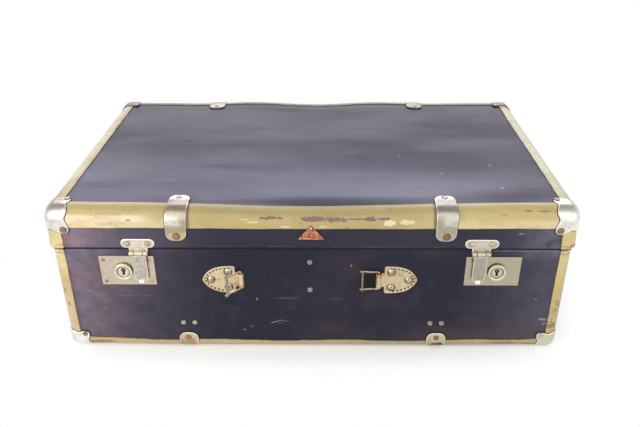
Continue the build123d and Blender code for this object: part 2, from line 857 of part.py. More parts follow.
# Triangular plate on the lid's front edge, held by one nail
with BuildPart() as badge:
    with BuildSketch(lid_front):
        with BuildLine():
            Polyline(
                (badge_middle - badge_width / 2, badge_bottom),
                (badge_middle + badge_width / 2, badge_bottom),
                (badge_middle, badge_top),
                close=True,
            )
        make_face()
    extrude(amount=badge_thickness)
    drill(lid_front, nail_shank_radius, badge_nail_place)
badge.part.label = "badge"
export_step(badge.part, "parts/badge.step")

with BuildPart() as badge_nail:
    rivet(
        lid_front,
        badge_nail_place,
        badge_thickness,
        badge_thickness - panel_back,
        badge_nail_head_radius,
        nail_head_height,
        nail_shank_radius,
    )
badge_nail.part.label = "badge_nail"
export_step(badge_nail.part, "parts/badge_nail.step")

# Rear hinges: the pin lies outside the back walls at the height of the lid's lower edge
hinge_axis_level = panel_face + hinge_knuckle_radius + knuckle_gap
hinge_bore = hinge_pin_radius + pin_running_gap
sheet_middle = panel_face + hinge_leaf_thickness / 2
clear_of_knuckle = hinge_knuckle_radius + knuckle_gap + hinge_leaf_thickness / 2


def hinge_section(place):
    """A plane across a hinge at x = place: local x outwards from the back, local y up from the pin."""
    return Plane(origin=(place, case_depth / 2, seam_height), x_dir=back, z_dir=right)


with BuildPart() as hinge_lid_leaves:
    for place in hinge_places:
        with BuildSketch(hinge_section(place)):
            with Locations((sheet_middle, (clear_of_knuckle + hinge_lid_leaf_height) / 2)):
                Rectangle(hinge_leaf_thickness, hinge_lid_leaf_height - clear_of_knuckle)
        extrude(amount=hinge_width / 2, both=True)
        with BuildSketch(hinge_section(place)):
            with Locations((sheet_middle, clear_of_knuckle / 2)):
                Rectangle(hinge_leaf_thickness, clear_of_knuckle)
            with Locations((hinge_axis_level, 0)):
                Circle(hinge_knuckle_radius)
                Circle(hinge_bore, mode=Mode.SUBTRACT)
        extrude(amount=hinge_middle_knuckle / 2, both=True)
        with BuildSketch(hinge_section(place)):
            with Locations((hinge_axis_level, 0)):
                Circle(hinge_bore)
        extrude(amount=hinge_width / 2, both=True, mode=Mode.SUBTRACT)
    drill(lid_back, small_shank_radius, hinge_lid_rivet_places)
hinge_lid_leaves.part.label = "hinge_lid_leaves"
export_step(hinge_lid_leaves.part, "parts/hinge_lid_leaves.step")

with BuildPart() as hinge_base_leaves:
    base_sheet_middle = sheet_middle - base_inset
    for place in hinge_places:
        with BuildSketch(hinge_section(place)):
            with BuildLine():
                Polyline(
                    (base_sheet_middle, -hinge_base_leaf_height),
                    (base_sheet_middle, -hinge_crank_height),
                    (hinge_axis_level - hinge_knuckle_radius + hinge_leaf_thickness / 2, -clear_of_knuckle),
                    (hinge_axis_level - hinge_knuckle_radius + hinge_leaf_thickness / 2, 0),
                )
            trace(line_width=hinge_leaf_thickness)
            with Locations((hinge_axis_level, 0)):
                Circle(hinge_knuckle_radius)
        extrude(amount=hinge_width / 2, both=True)
        with BuildSketch(hinge_section(place)):
            with Locations((hinge_axis_level, 0)):
                Rectangle(4 * hinge_knuckle_radius, 2 * (hinge_knuckle_radius + knuckle_gap))
        extrude(amount=hinge_middle_knuckle / 2 + knuckle_gap, both=True, mode=Mode.SUBTRACT)
        with BuildSketch(hinge_section(place)):
            with Locations((hinge_axis_level, 0)):
                Circle(hinge_bore)
        extrude(amount=hinge_width / 2, both=True, mode=Mode.SUBTRACT)
    drill(base_back, small_shank_radius, hinge_base_rivet_places)
hinge_base_leaves.part.label = "hinge_base_leaves"
export_step(hinge_base_leaves.part, "parts/hinge_base_leaves.step")

with BuildPart() as hinge_pins:
    for place in hinge_places:
        with BuildSketch(hinge_section(place)):
            with Locations((hinge_axis_level, 0)):
                Circle(hinge_pin_radius)
        extrude(amount=hinge_width / 2, both=True)
hinge_pins.part.label = "hinge_pins"
export_step(hinge_pins.part, "parts/hinge_pins.step")

leaf_grip = hinge_leaf_thickness + panel_thickness
with BuildPart() as hinge_lid_rivets:
    rivet(
        lid_back,
        hinge_lid_rivet_places,
        panel_face + hinge_leaf_thickness,
        leaf_grip,
        small_head_radius,
        small_head_height,
        small_shank_radius,
    )
hinge_lid_rivets.part.label = "hinge_lid_rivets"
export_step(hinge_lid_rivets.part, "parts/hinge_lid_rivets.step")

with BuildPart() as hinge_base_rivets:
    rivet(
        base_back,
        hinge_base_rivet_places,
        panel_face + hinge_leaf_thickness,
        leaf_grip,
        small_head_radius,
        small_head_height,
        small_shank_radius,
    )
hinge_base_rivets.part.label = "hinge_base_rivets"
export_step(hinge_base_rivets.part, "parts/hinge_base_rivets.step")

# Locks and hasps, drawn for the right-hand side
lock_corner_nails = [
    (lock_out + across, lock_height + rise)
    for across in (-lock_plate_width / 2 + lock_nail_inset, lock_plate_width / 2 - lock_nail_inset)
    for rise in (-lock_plate_height / 2 + lock_nail_inset, lock_plate_height / 2 - lock_nail_inset)
]
case_middle = (lock_case_inner_end + lock_case_outer_end) / 2
case_length = lock_case_outer_end - lock_case_inner_end
slide_front = panel_back - knuckle_gap
slide_middle = slide_front - slide_thickness / 2
hasp_axis_level = panel_face + hasp_knuckle_radius  # from the lid's front binding
hasp_bore = hasp_pin_radius + pin_running_gap
hasp_section = Plane(
    origin=(fittings_middle + hasp_out, -case_depth / 2, hasp_axis_height), x_dir=back, z_dir=right
)
leaf_back = plate_front + hasp_leaf_lift
leaf_front = leaf_back + hasp_leaf_thickness

with BuildPart() as lock_plate:
    with BuildSketch(fittings_front.offset(panel_face)):
        with Locations((lock_out, lock_height)):
            Rectangle(lock_plate_width, lock_plate_height)
    extrude(amount=lock_plate_thickness)
    drill(fittings_front, nail_shank_radius, lock_corner_nails)
    lock_windows((1,))

with BuildPart() as lock_case:
    with BuildSketch(fittings_front.offset(panel_back)):
        with Locations((lock_out, lock_height)):
            Rectangle(lock_plate_width, lock_plate_height)
    extrude(amount=-lock_case_wall)
    with BuildSketch(fittings_front.offset(panel_back)):
        with Locations((case_middle, lock_height)):
            Rectangle(case_length, lock_case_height)
    extrude(amount=-lock_case_depth)
    with BuildSketch(fittings_front.offset(panel_back)):
        with Locations((case_middle, lock_height)):
            Rectangle(case_length - 2 * lock_case_wall, lock_case_height - 2 * lock_case_wall)
    extrude(amount=-(lock_case_depth - lock_case_wall), mode=Mode.SUBTRACT)
    drill(fittings_front, nail_shank_radius, lock_corner_nails)

# The boss, its neck and the bolt slide outwards together against the spring
with BuildPart() as lock_slide:
    with BuildSketch(fittings_front.offset(plate_front + boss_lift)):
        with Locations((boss_out, lock_height)):
            Circle(boss_radius)
    extrude(amount=boss_thickness)
    with BuildSketch(fittings_front.offset(slide_front)):
        with Locations((boss_out, lock_height)):
            Rectangle(neck_size, neck_size)
    extrude(amount=plate_front + boss_lift - slide_front)
    with BuildSketch(fittings_front.offset(slide_front)):
        with Locations(((slide_inner_end + slide_outer_end) / 2, lock_height)):
            Rectangle(slide_outer_end - slide_inner_end, slide_height)
        with Locations(((bolt_inner_end + slide_inner_end) / 2, lock_height)):
            Rectangle(slide_inner_end - bolt_inner_end, bolt_height)
    extrude(amount=-slide_thickness)
    boss_face = plate_front + boss_lift + boss_thickness
    with BuildSketch(fittings_front.offset(boss_face)):
        with Locations((boss_out, lock_height)):
            Circle(boss_recess_radius)
    extrude(amount=-boss_recess_depth, mode=Mode.SUBTRACT)
    with BuildSketch(fittings_front.offset(boss_face - boss_recess_depth)):
        with Locations((boss_out, lock_height + keyhole_rise)):
            Circle(keyhole_radius)
        with Locations((boss_out, lock_height + keyhole_rise - keyhole_slot_drop / 2)):
            Rectangle(keyhole_slot_width, keyhole_slot_drop)
    extrude(amount=-keyhole_depth, mode=Mode.SUBTRACT)

with BuildPart() as lock_spring:
    with BuildSketch(Plane.XY.offset(lock_height - spring_height / 2)):
        with BuildLine():
            spring_start = fittings_middle + slide_outer_end + knuckle_gap + spring_strip
            spring_end = fittings_middle + lock_case_outer_end - lock_case_wall - knuckle_gap - spring_strip
            spring_line = -base_depth / 2 - slide_middle
            Polyline(
                (spring_start, spring_line),
                ((spring_start + spring_end) / 2, spring_line + spring_bow),
                (spring_end, spring_line),
            )
        trace(line_width=spring_strip)
    extrude(amount=spring_height)

with BuildPart() as hasp_anchor:
    with BuildSketch(fittings_front.offset(base_inset + panel_face)):
        with Locations((hasp_out, hasp_anchor_centre)):
            SlotOverall(hasp_anchor_width, hasp_anchor_height)
        with Locations((hasp_out, (hasp_anchor_centre + hasp_axis_height) / 2)):
            Rectangle(hasp_stem_width, hasp_anchor_centre - hasp_axis_height)
    extrude(amount=hasp_anchor_thickness)
    with BuildSketch(hasp_section):
        with Locations((-hasp_axis_level, 0)):
            Circle(hasp_knuckle_radius)
    extrude(amount=hasp_stem_width / 2, both=True)
    with BuildSketch(hasp_section):
        with Locations((-hasp_axis_level, 0)):
            Rectangle(3 * hasp_knuckle_radius, 2 * (hasp_knuckle_radius + knuckle_gap))
    extrude(amount=hasp_middle_knuckle / 2 + knuckle_gap, both=True, mode=Mode.SUBTRACT)
    with BuildSketch(hasp_section):
        with Locations((-hasp_axis_level, 0)):
            Circle(hasp_bore)
    extrude(amount=hasp_stem_width / 2, both=True, mode=Mode.SUBTRACT)
    drill(
        fittings_front,
        small_shank_radius,
        [
            (hasp_out - hasp_rivet_spacing / 2, hasp_anchor_centre),
            (hasp_out + hasp_rivet_spacing / 2, hasp_anchor_centre),
        ],
    )

with BuildPart() as hasp_pin:
    with BuildSketch(hasp_section):
        with Locations((-hasp_axis_level, 0)):
            Circle(hasp_pin_radius)
    extrude(amount=hasp_stem_width / 2, both=True)

# The leaf is a dished cover over the lock plate, with the staple that the bolt holds behind it
with BuildPart() as hasp_leaf:
    with BuildSketch(fittings_front.offset(leaf_back)):
        with Locations((hasp_out, (hasp_leaf_top + hasp_leaf_bottom) / 2)):
            outline = Rectangle(hasp_leaf_width, hasp_leaf_top - hasp_leaf_bottom)
        chamfer(outline.vertices().group_by(Axis.Z)[0], hasp_leaf_chamfer)
    extrude(amount=hasp_leaf_thickness)
    with BuildSketch(fittings_front.offset(leaf_back)):
        with Locations((hasp_out, (hasp_leaf_top + hasp_leaf_bottom) / 2)):
            hollow = Rectangle(
                hasp_leaf_width - 2 * hasp_leaf_wall, hasp_leaf_top - hasp_leaf_bottom - 2 * hasp_leaf_wall
            )
        chamfer(hollow.vertices().group_by(Axis.Z)[0], hasp_leaf_chamfer - hasp_leaf_wall / 2)
    extrude(amount=hasp_leaf_thickness - hasp_leaf_wall, mode=Mode.SUBTRACT)
    with BuildSketch(hasp_section):
        with Locations((-hasp_axis_level, 0)):
            Circle(hasp_knuckle_radius)
    extrude(amount=hasp_middle_knuckle / 2, both=True)
    with BuildSketch(fittings_front.offset(base_inset + panel_face)):
        with Locations((hasp_out, (hasp_axis_height + hasp_leaf_top) / 2)):
            Rectangle(hasp_middle_knuckle, hasp_axis_height - hasp_leaf_top + hasp_leaf_wall)
    extrude(amount=hasp_anchor_thickness)
    with BuildSketch(hasp_section):
        with Locations((-hasp_axis_level, 0)):
            Circle(hasp_bore)
    extrude(amount=hasp_stem_width / 2, both=True, mode=Mode.SUBTRACT)
    staple_depth = leaf_front - hasp_leaf_wall - slide_middle + staple_hole_depth / 2 + staple_end_wall
    with BuildSketch(fittings_front.offset(leaf_front - hasp_leaf_wall)):
        with Locations((hasp_out, lock_height)):
            Rectangle(staple_thickness, staple_height)
    extrude(amount=-staple_depth)
    with BuildSketch(fittings_front.offset(slide_middle + staple_hole_depth / 2)):
        with Locations((hasp_out, lock_height)):
            Rectangle(2 * staple_thickness, staple_hole_height)
    extrude(amount=-staple_hole_depth, mode=Mode.SUBTRACT)
    with BuildSketch(fittings_front.offset(leaf_front - hasp_lip_thickness)):
        with Locations((hasp_out, hasp_leaf_bottom)):
            Rectangle(hasp_lip_width, hasp_lip_height)
    extrude(amount=2 * hasp_lip_thickness)

for side in ("left", "right"):
    for name, piece in (
        ("lock_plate", lock_plate),
        ("lock_case", lock_case),
        ("lock_slide", lock_slide),
        ("lock_spring", lock_spring),
        ("hasp_anchor", hasp_anchor),
        ("hasp_pin", hasp_pin),
        ("hasp_leaf", hasp_leaf),
    ):
        with BuildPart() as fitted:
            add(to_side(piece.part, side))
        fitted.part.label = f"{side}_{name}"
        export_step(fitted.part, f"parts/{side}_{name}.step")

with BuildPart() as hasp_rivets:
    rivet(
        lid_front,
        hasp_rivet_places,
        panel_face + hasp_anchor_thickness,
        hasp_anchor_thickness + panel_thickness,
        small_head_radius,
        small_head_height,
        small_shank_radius,
    )
hasp_rivets.part.label = "hasp_rivets"
export_step(hasp_rivets.part, "parts/hasp_rivets.step")

with BuildPart() as lock_nails:
    rivet(
        base_front,
        lock_nail_places,
        plate_front,
        plate_front - panel_back + lock_case_wall,
        nail_head_radius,
        nail_head_height,
        nail_shank_radius,
    )
lock_nails.part.label = "lock_nails"
export_step(lock_nails.part, "parts/lock_nails.step")

# Handle plates and loops, drawn for the right-hand side, the loop flat towards the middle
eye_level = panel_face + eye_radius
eye_bore = loop_bar_radius + pin_running_gap
arm_offset = tongue_height / 2 + loop_arm_gap + loop_arm_width / 2
eye_axis = Axis((fittings_middle + eye_out, -base_depth / 2 - eye_level, 0), (0, 0, 1))


def level_section(height):
    """A horizontal plane: local x out from the fittings' middle line, local y out from the base's front."""
    return Plane(origin=(fittings_middle, -base_depth / 2, height), x_dir=right, z_dir=down)


def plate_outline():
    """Gothic arch: flat end towards the middle, pointed end outwards, in the current sketch."""
    half = plate_height / 2
    with BuildLine() as arch:
        Line(
            (plate_end_out, plate_centre_height - half),
            (plate_end_out, plate_centre_height + half),
        )
        for side in (-1, 1):
            shoulder = Line(
                (plate_end_out, plate_centre_height + side * half),
                (plate_end_out + plate_shoulder, plate_centre_height + side * half),
            )
            TangentArc(shoulder @ 1, (plate_tip_out, plate_centre_height), tangent=shoulder % 1)
    make_face(arch.edges())


with BuildPart() as handle_plate:
    with BuildSketch(fittings_front.offset(panel_face)):
        plate_outline()
        with Locations(((eye_out + plate_end_out) / 2, plate_centre_height)):
            Rectangle(plate_end_out - eye_out, tongue_height)
    extrude(amount=plate_thickness)
    with BuildSketch(fittings_front.offset(panel_face + plate_thickness)):
        plate_outline()
        offset(amount=-plate_rim_width, mode=Mode.SUBTRACT)
    extrude(amount=plate_rim_height)
    with BuildSketch(level_section(plate_centre_height)):
        with Locations((eye_out, eye_level)):
            Circle(eye_radius)
    extrude(amount=tongue_height / 2, both=True)
    with BuildSketch(level_section(plate_centre_height)):
        with Locations((eye_out, eye_level)):
            Circle(eye_bore)
    extrude(amount=tongue_height / 2, both=True, mode=Mode.SUBTRACT)
    drill(
        fittings_front,
        dome_shank_radius,
        [
            (plate_tip_out - plate_tip_rivet_inset, plate_centre_height),
            (plate_end_out + plate_end_rivet_inset, plate_centre_height + plate_rivet_rise),
            (plate_end_out + plate_end_rivet_inset, plate_centre_height - plate_rivet_rise),
        ],
    )

with BuildPart() as handle_loop:
    with BuildSketch(level_section(plate_centre_height)):
        with Locations((eye_out, eye_level)):
            Circle(loop_bar_radius)
    extrude(amount=arm_offset + loop_arm_width / 2, both=True)
    for place in (-arm_offset, arm_offset):
        with BuildSketch(level_section(plate_centre_height + place)):
            with Locations((eye_out - (loop_length + loop_arm_tail) / 2, eye_level)):
                SlotOverall(loop_length + loop_arm_tail + loop_arm_thickness, loop_arm_thickness)
        extrude(amount=loop_arm_width / 2, both=True)
    with BuildSketch(level_section(plate_centre_height)):
        with Locations((eye_out - loop_length, eye_level)):
            Circle(cross_pin_radius)
    extrude(amount=arm_offset + loop_arm_width, both=True, mode=Mode.SUBTRACT)

with BuildPart() as cross_pin:
    with BuildSketch(level_section(plate_centre_height)):
        with Locations((eye_out - loop_length, eye_level)):
            Circle(cross_pin_radius)
    extrude(amount=arm_offset + loop_arm_width / 2 + cross_pin_head, both=True)
    for end in (-1, 1):
        outer_face = plate_centre_height + end * (arm_offset + loop_arm_width / 2 + cross_pin_head / 2)
        with BuildSketch(level_section(outer_face)):
            with Locations((eye_out - loop_length, eye_level)):
                Circle(cross_pin_head_radius)
        extrude(amount=cross_pin_head / 2, both=True)

for side in ("left", "right"):
    with BuildPart() as fitted_plate:
        add(to_side(handle_plate.part, side))
    fitted_plate.part.label = f"{side}_handle_plate"
    export_step(fitted_plate.part, f"parts/{side}_handle_plate.step")
    for name, piece in (("handle_loop", handle_loop), ("cross_pin", cross_pin)):
        # the left loop has been folded back over its plate
        turned = piece.part.rotate(eye_axis, left_loop_fold) if side == "left" else piece.part
        with BuildPart() as fitted:
            add(to_side(turned, side))
        fitted.part.label = f"{side}_{name}"
        export_step(fitted.part, f"parts/{side}_{name}.step")

dome_ball_radius = (dome_radius**2 + dome_height**2) / (2 * dome_height)
with BuildPart() as handle_rivets:
    with BuildSketch(base_front.offset(panel_back)):
        with Locations(*plate_rivet_places):
            Circle(dome_shank_radius)
    extrude(amount=panel_thickness + plate_thickness)
    for x, z in plate_rivet_places:
        seat = Plane(origin=(x, -base_depth / 2 - panel_face - plate_thickness, z), x_dir=right, z_dir=up)
        with BuildSketch(seat):
            with BuildLine():
                dome = RadiusArc((dome_radius, 0), (0, -dome_height), dome_ball_radius)
                Polyline(dome @ 1, (0, 0), dome @ 0)
            make_face()
        revolve(axis=Axis(seat.origin, (0, 1, 0)))
handle_rivets.part.label = "handle_rivets"
export_step(handle_rivets.part, "parts/handle_rivets.step")
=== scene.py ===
import math
import bpy
import numpy as np
from mathutils import Matrix, Vector


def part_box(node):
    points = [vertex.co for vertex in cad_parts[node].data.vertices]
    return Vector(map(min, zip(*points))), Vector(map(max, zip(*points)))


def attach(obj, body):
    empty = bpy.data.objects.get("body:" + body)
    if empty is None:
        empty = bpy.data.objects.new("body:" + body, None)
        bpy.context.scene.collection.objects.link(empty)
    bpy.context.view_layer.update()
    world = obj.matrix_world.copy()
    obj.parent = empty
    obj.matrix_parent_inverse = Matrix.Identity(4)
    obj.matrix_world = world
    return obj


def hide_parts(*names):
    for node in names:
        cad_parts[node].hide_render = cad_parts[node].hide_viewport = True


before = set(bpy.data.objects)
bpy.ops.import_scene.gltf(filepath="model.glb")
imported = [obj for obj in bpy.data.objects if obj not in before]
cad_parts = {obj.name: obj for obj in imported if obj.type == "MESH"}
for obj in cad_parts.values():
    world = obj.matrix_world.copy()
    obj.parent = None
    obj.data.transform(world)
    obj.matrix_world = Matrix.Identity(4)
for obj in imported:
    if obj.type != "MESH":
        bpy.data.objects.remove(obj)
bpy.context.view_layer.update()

# The camera stands before the front of the case, a little right of its middle, and looks down on the lid. It is
# turned and rolled by a fraction of a degree.
mm = 0.001
scene = bpy.context.scene
scene.view_settings.view_transform = "Standard"

camera_place = Vector((16.72 * mm, -844.32 * mm, 544.58 * mm))
pitch, yaw, roll = math.radians(28.23), math.radians(-0.599), math.radians(-0.152)
view_ahead = Vector((math.sin(yaw) * math.cos(pitch), math.cos(yaw) * math.cos(pitch), -math.sin(pitch)))
level_right = Vector((math.cos(yaw), -math.sin(yaw), 0))
level_up = level_right.cross(view_ahead)
view_right = level_right * math.cos(roll) + level_up * math.sin(roll)
view_up = view_right.cross(view_ahead)

lens = bpy.data.cameras.new("camera")
lens.lens = 38.464
camera = bpy.data.objects.new("camera", lens)
camera.matrix_world = (
    Matrix.Translation(camera_place) @ Matrix((view_right, view_up, -view_ahead)).transposed().to_4x4()
)
scene.collection.objects.link(camera)
scene.camera = camera


# Soft lamps: one low at each front corner of the case, the left one stronger, a key above the left front, and a
# long low one behind, whose sheen lies over the lid.
def lamp(name, place, aim, width, height, watts, colour=(1, 1, 1)):
    """A rectangular soft lamp at place, facing aim, that is not seen itself."""
    light = bpy.data.lights.new(name, "AREA")
    light.shape = "RECTANGLE"
    light.size, light.size_y, light.energy = width, height, watts
    light.color = colour
    holder = bpy.data.objects.new(name, light)
    holder.location = place
    holder.rotation_euler = (Vector(aim) - Vector(place)).to_track_quat("-Z", "Y").to_euler()
    holder.visible_camera = False
    scene.collection.objects.link(holder)


lamp("left", (-0.8, -0.8, 0.5), (-0.24, -0.15, 0.1), 0.7, 0.6, 2.8, (1.0, 0.97, 0.94))
lamp("right", (0.85, -0.8, 0.5), (0.25, -0.15, 0.1), 0.7, 0.6, 1.9)
lamp("key", (-0.2, -1.3, 1.6), (0, 0, 0.1), 2.2, 1.2, 13)
lamp("behind", (0, 1.9, 1.5), (0, -0.1, 0.19), 3.2, 0.9, 35, (0.82, 0.82, 1.0))


# The floor is a pale sheet that keeps the case's shadow and turns into plain white further out. The world is white
# where it is seen and in reflections, and lights the case softly.
class Wire:
    """A socket in a material, with Python's operators as Math nodes."""

    def __init__(self, tree, socket):
        self.tree = tree
        self.socket = socket

    def node(self, kind, settings=(), output=0, **values):
        """A new node, with its settings, then its sockets by name or by number (in0, in1), and one output."""
        made = self.tree.nodes.new(kind)
        for name, value in dict(settings).items():
            if name == "stops":
                for place, colour in value[2:]:
                    made.color_ramp.elements.new(place)
                for element, (place, colour) in zip(made.color_ramp.elements, value):
                    element.position = place
                    element.color = (*colour, 1.0)
            else:
                setattr(made, name, value)
        for name, value in values.items():
            socket = made.inputs[int(name[2:]) if name[:2] == "in" else name.replace("_", " ")]
            if isinstance(value, Wire):
                self.tree.links.new(value.socket, socket)
            elif socket.type == "RGBA":
                socket.default_value = (*value, 1.0)
            else:
                socket.default_value = value
        return Wire(self.tree, made.outputs[output])

    def maths(self, operation, *others):
        rest = {f"in{k + 1}": other for k, other in enumerate(others)}
        return self.node("ShaderNodeMath", {"operation": operation}, in0=self, **rest)

    def __add__(self, other):
        return self.maths("ADD", other)

    def __sub__(self, other):
        return self.maths("SUBTRACT", other)

    def __rsub__(self, other):
        return self.maths("MULTIPLY_ADD", -1.0, other)

    def __mul__(self, other):
        return self.maths("MULTIPLY", other)

    def __pow__(self, other):
        return self.maths("POWER", other)

    def __abs__(self):
        return self.maths("ABSOLUTE")

    __radd__ = __add__
    __rmul__ = __mul__

    def larger(self, other):
        return self.maths("MAXIMUM", other)

    def between(self, low, high):
        """0 at low, 1 at high, and a smooth step from one to the other; low may be the larger."""
        return self.node(
            "ShaderNodeMapRange", {"interpolation_type": "SMOOTHSTEP"}, Value=self, From_Min=low, From_Max=high
        )

    def past(self, low, high):
        """As between, in millimetres."""
        return self.between(low * mm, high * mm)

    def near(self, middle, far, close):
        """1 within close of the middle value and 0 when it is far off, in millimetres."""
        return abs(self - middle * mm).past(far, close)

    def mix(self, under, over):
        """Colour under where this mask is 0 and colour over where it is 1."""
        return self.node("ShaderNodeMix", {"data_type": "RGBA"}, 2, in0=self, in6=under, in7=over)

    def part(self, axis):
        """One coordinate of this vector: 0, 1 or 2."""
        return self.node("ShaderNodeSeparateXYZ", output=axis, Vector=self)

    def times(self, x, y, z):
        return self.node("ShaderNodeVectorMath", {"operation": "MULTIPLY"}, in0=self, in1=(x, y, z))

    def plus(self, x, y, z):
        return self.node("ShaderNodeVectorMath", {"operation": "ADD"}, in0=self, in1=(x, y, z))

    def distance(self, x, y, z):
        return self.node("ShaderNodeVectorMath", {"operation": "DISTANCE"}, 1, in0=self, in1=(x, y, z))

    def noise(self, scale, detail=3.0, rough=0.55, twist=0.0):
        """Smooth noise, about 0.25 to 0.75, whose features are 1 / scale metres across."""
        return self.node(
            "ShaderNodeTexNoise", Vector=self, Scale=scale, Detail=detail, Roughness=rough, Distortion=twist
        )


class Finish:
    """A material with one Principled shader; numbers are set on its sockets, and wires are linked to them."""

    def __init__(self, name, **values):
        self.material = bpy.data.materials.new(name)
        self.material.use_nodes = True
        self.tree = self.material.node_tree
        self.shader = self.tree.nodes["Principled BSDF"]
        coordinates = self.tree.nodes.new("ShaderNodeTexCoord")
        self.at = Wire(self.tree, coordinates.outputs["Object"])
        self.set(**values)

    def set(self, **values):
        for name, value in values.items():
            socket = self.shader.inputs[name.replace("_", " ")]
            if isinstance(value, Wire):
                self.tree.links.new(value.socket, socket)
            else:
                socket.default_value = (*value, 1.0) if socket.type == "RGBA" else value

    def track(self):
        """The piece's own coordinates, kept in its mesh."""
        return self.at.node("ShaderNodeAttribute", {"attribute_name": "track"}, 1)

    def coat(self, mask, colour):
        """Lays a colour over those before it, as far as the mask says."""
        self.colour = mask.mix(self.colour, colour)

    def by_side(self, left, right):
        """One colour left of the case's middle and another right of it."""
        return self.at.part(0).past(-20, 20).mix(left, right)

    def zone(self, **reaches):
        """1 in a zone of x, y, z, side (x to either side) or deep (y to either side), each past a range (low, high)
        or near a value (middle, far, close), in millimetres."""
        masks = []
        for name, reach in reaches.items():
            value = self.at.part({"x": 0, "side": 0, "y": 1, "deep": 1, "z": 2}[name])
            value = abs(value) if name in ("side", "deep") else value
            masks.append(value.near(*reach) if len(reach) == 3 else value.past(*reach))
        return math.prod(masks[1:], start=masks[0])

    def mark(self, middle, reach, turn=0, ragged=0.0, soft=0.3):
        """1 inside an ellipsoid round middle with half sizes reach (mm), leaned by turn degrees about y; noise makes
        its border ragged."""
        x, y, z = (value * mm for value in middle)
        off = self.at.plus(-x, -y, -z)
        if turn:
            off = off.node("ShaderNodeVectorRotate", {"rotation_type": "Y_AXIS"}, Vector=off, Angle=math.radians(turn))
        far = off.times(*(1 / (value * mm) for value in reach)).distance(0, 0, 0)
        if ragged:
            far = far + (self.at.noise(300, 4.0, 0.65) - 0.5) * (4 * ragged)
        return far.between(1 + soft, 1 - soft)

    def relief(self, height, depth):
        """Bumps the surface by depth metres where height is 1."""
        self.set(Normal=height.node("ShaderNodeBump", Height=height, Distance=depth))


floor_half = 8.0
floor_mesh = bpy.data.meshes.new("floor")
floor_mesh.from_pydata(
    (floor_half * np.array([(-1, -1, 0), (1, -1, 0), (1, 1, 0), (-1, 1, 0)])).tolist(), [], [(0, 1, 2, 3)]
)
floor = bpy.data.objects.new("floor", floor_mesh)
scene.collection.objects.link(floor)
floor_finish = Finish("floor", Base_Color=(0.9, 0.9, 0.9), Roughness=0.9, Emission_Strength=0.3)
floor_mesh.materials.append(floor_finish.material)
ray = floor_finish.at.node("ShaderNodeLightPath")
kinds = ("Is Camera Ray", "Is Glossy Ray", "Is Transmission Ray")
straight, mirrored, through = (Wire(ray.tree, ray.socket.node.outputs[kind]) for kind in kinds)
seen = straight.larger(mirrored).larger(through)
# close round the case the floor's glow is cut down: a painted contact shadow
shade_half_width, shade_half_depth = 0.285, 0.165
past_side = (abs(floor_finish.at.part(0)) - shade_half_width).larger(0.0)
past_front = (abs(floor_finish.at.part(1)) - shade_half_depth).larger(0.0)
clear = ((past_side**2 + past_front**2) ** 0.5).between(0.004, 0.06) * 0.75 + 0.25
floor_finish.set(Emission_Color=(seen * clear).mix((0, 0, 0), (1, 1, 1)))
plain_white = ray.node("ShaderNodeEmission", Color=(1, 1, 1), Strength=1.0)
far = floor_finish.at.times(1, 1.5, 1).distance(0, 0, 0).between(0.3, 0.47) * seen
blended = far.node("ShaderNodeMixShader", in0=far, in1=Wire(ray.tree, floor_finish.shader.outputs[0]), in2=plain_white)
ray.tree.links.new(blended.socket, ray.tree.nodes["Material Output"].inputs["Surface"])

world = bpy.data.worlds.new("world")
world.use_nodes = True
scene.world = world
sky = world.node_tree.nodes["Background"]
sky.inputs["Color"].default_value = (1, 1, 1, 1)
ray = Wire(world.node_tree, sky.outputs[0]).node("ShaderNodeLightPath")
seen = Wire(ray.tree, ray.socket.node.outputs["Is Camera Ray"])
upward = ray.node("ShaderNodeTexCoord").part(2)
ceiling = upward.between(0.8, 0.3) * 0.6 + 0.4
world.node_tree.links.new(seen.larger(ceiling).socket, sky.inputs["Strength"])


# Navy fibre sheet: the five panels of the base are vulcanised fibre, cut, bent at the edges and butted at the
# corners. The sheet is matt with a soft sheen, stained brown towards the ends and the foot, and lightly scratched.
def give(finish, *nodes):
    """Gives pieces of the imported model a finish."""
    for name in nodes:
        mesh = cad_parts[name].data
        mesh.materials.clear()
        mesh.materials.append(finish.material)


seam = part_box("lid_front_panel")[0].z
case_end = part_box("lid_edge_bindings")[1].x
case_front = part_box("lid_edge_bindings")[0].y
case_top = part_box("lid_edge_bindings")[1].z
seam_z, top_z = seam / mm, case_top / mm

navy = Finish("navy_fibre", Specular_IOR_Level=0.25)
mottle = navy.at.noise(55, 4.0, 0.6)
cloud = navy.at.times(1, 1.6, 1.6).noise(8, 3.0)
navy.colour = mottle.between(0.3, 0.7).mix((0.0075, 0.0076, 0.019), (0.0115, 0.0112, 0.0265))
stain = (cloud + navy.zone(side=(120, 300)) * 0.2 + navy.zone(z=(50, 10)) * 0.1).between(0.52, 0.76)
navy.coat(stain * 0.75, (0.042, 0.026, 0.033))
rub = navy.at.plus(0.3, 0.7, 0.1).noise(34, 5.0, 0.65).between(0.56, 0.74)
navy.coat(rub * 0.25, (0.06, 0.052, 0.075))
fleck = navy.at.noise(460, 2.0, 0.6).between(0.69, 0.74)
navy.coat(fleck * 0.25, (0.14, 0.12, 0.14))
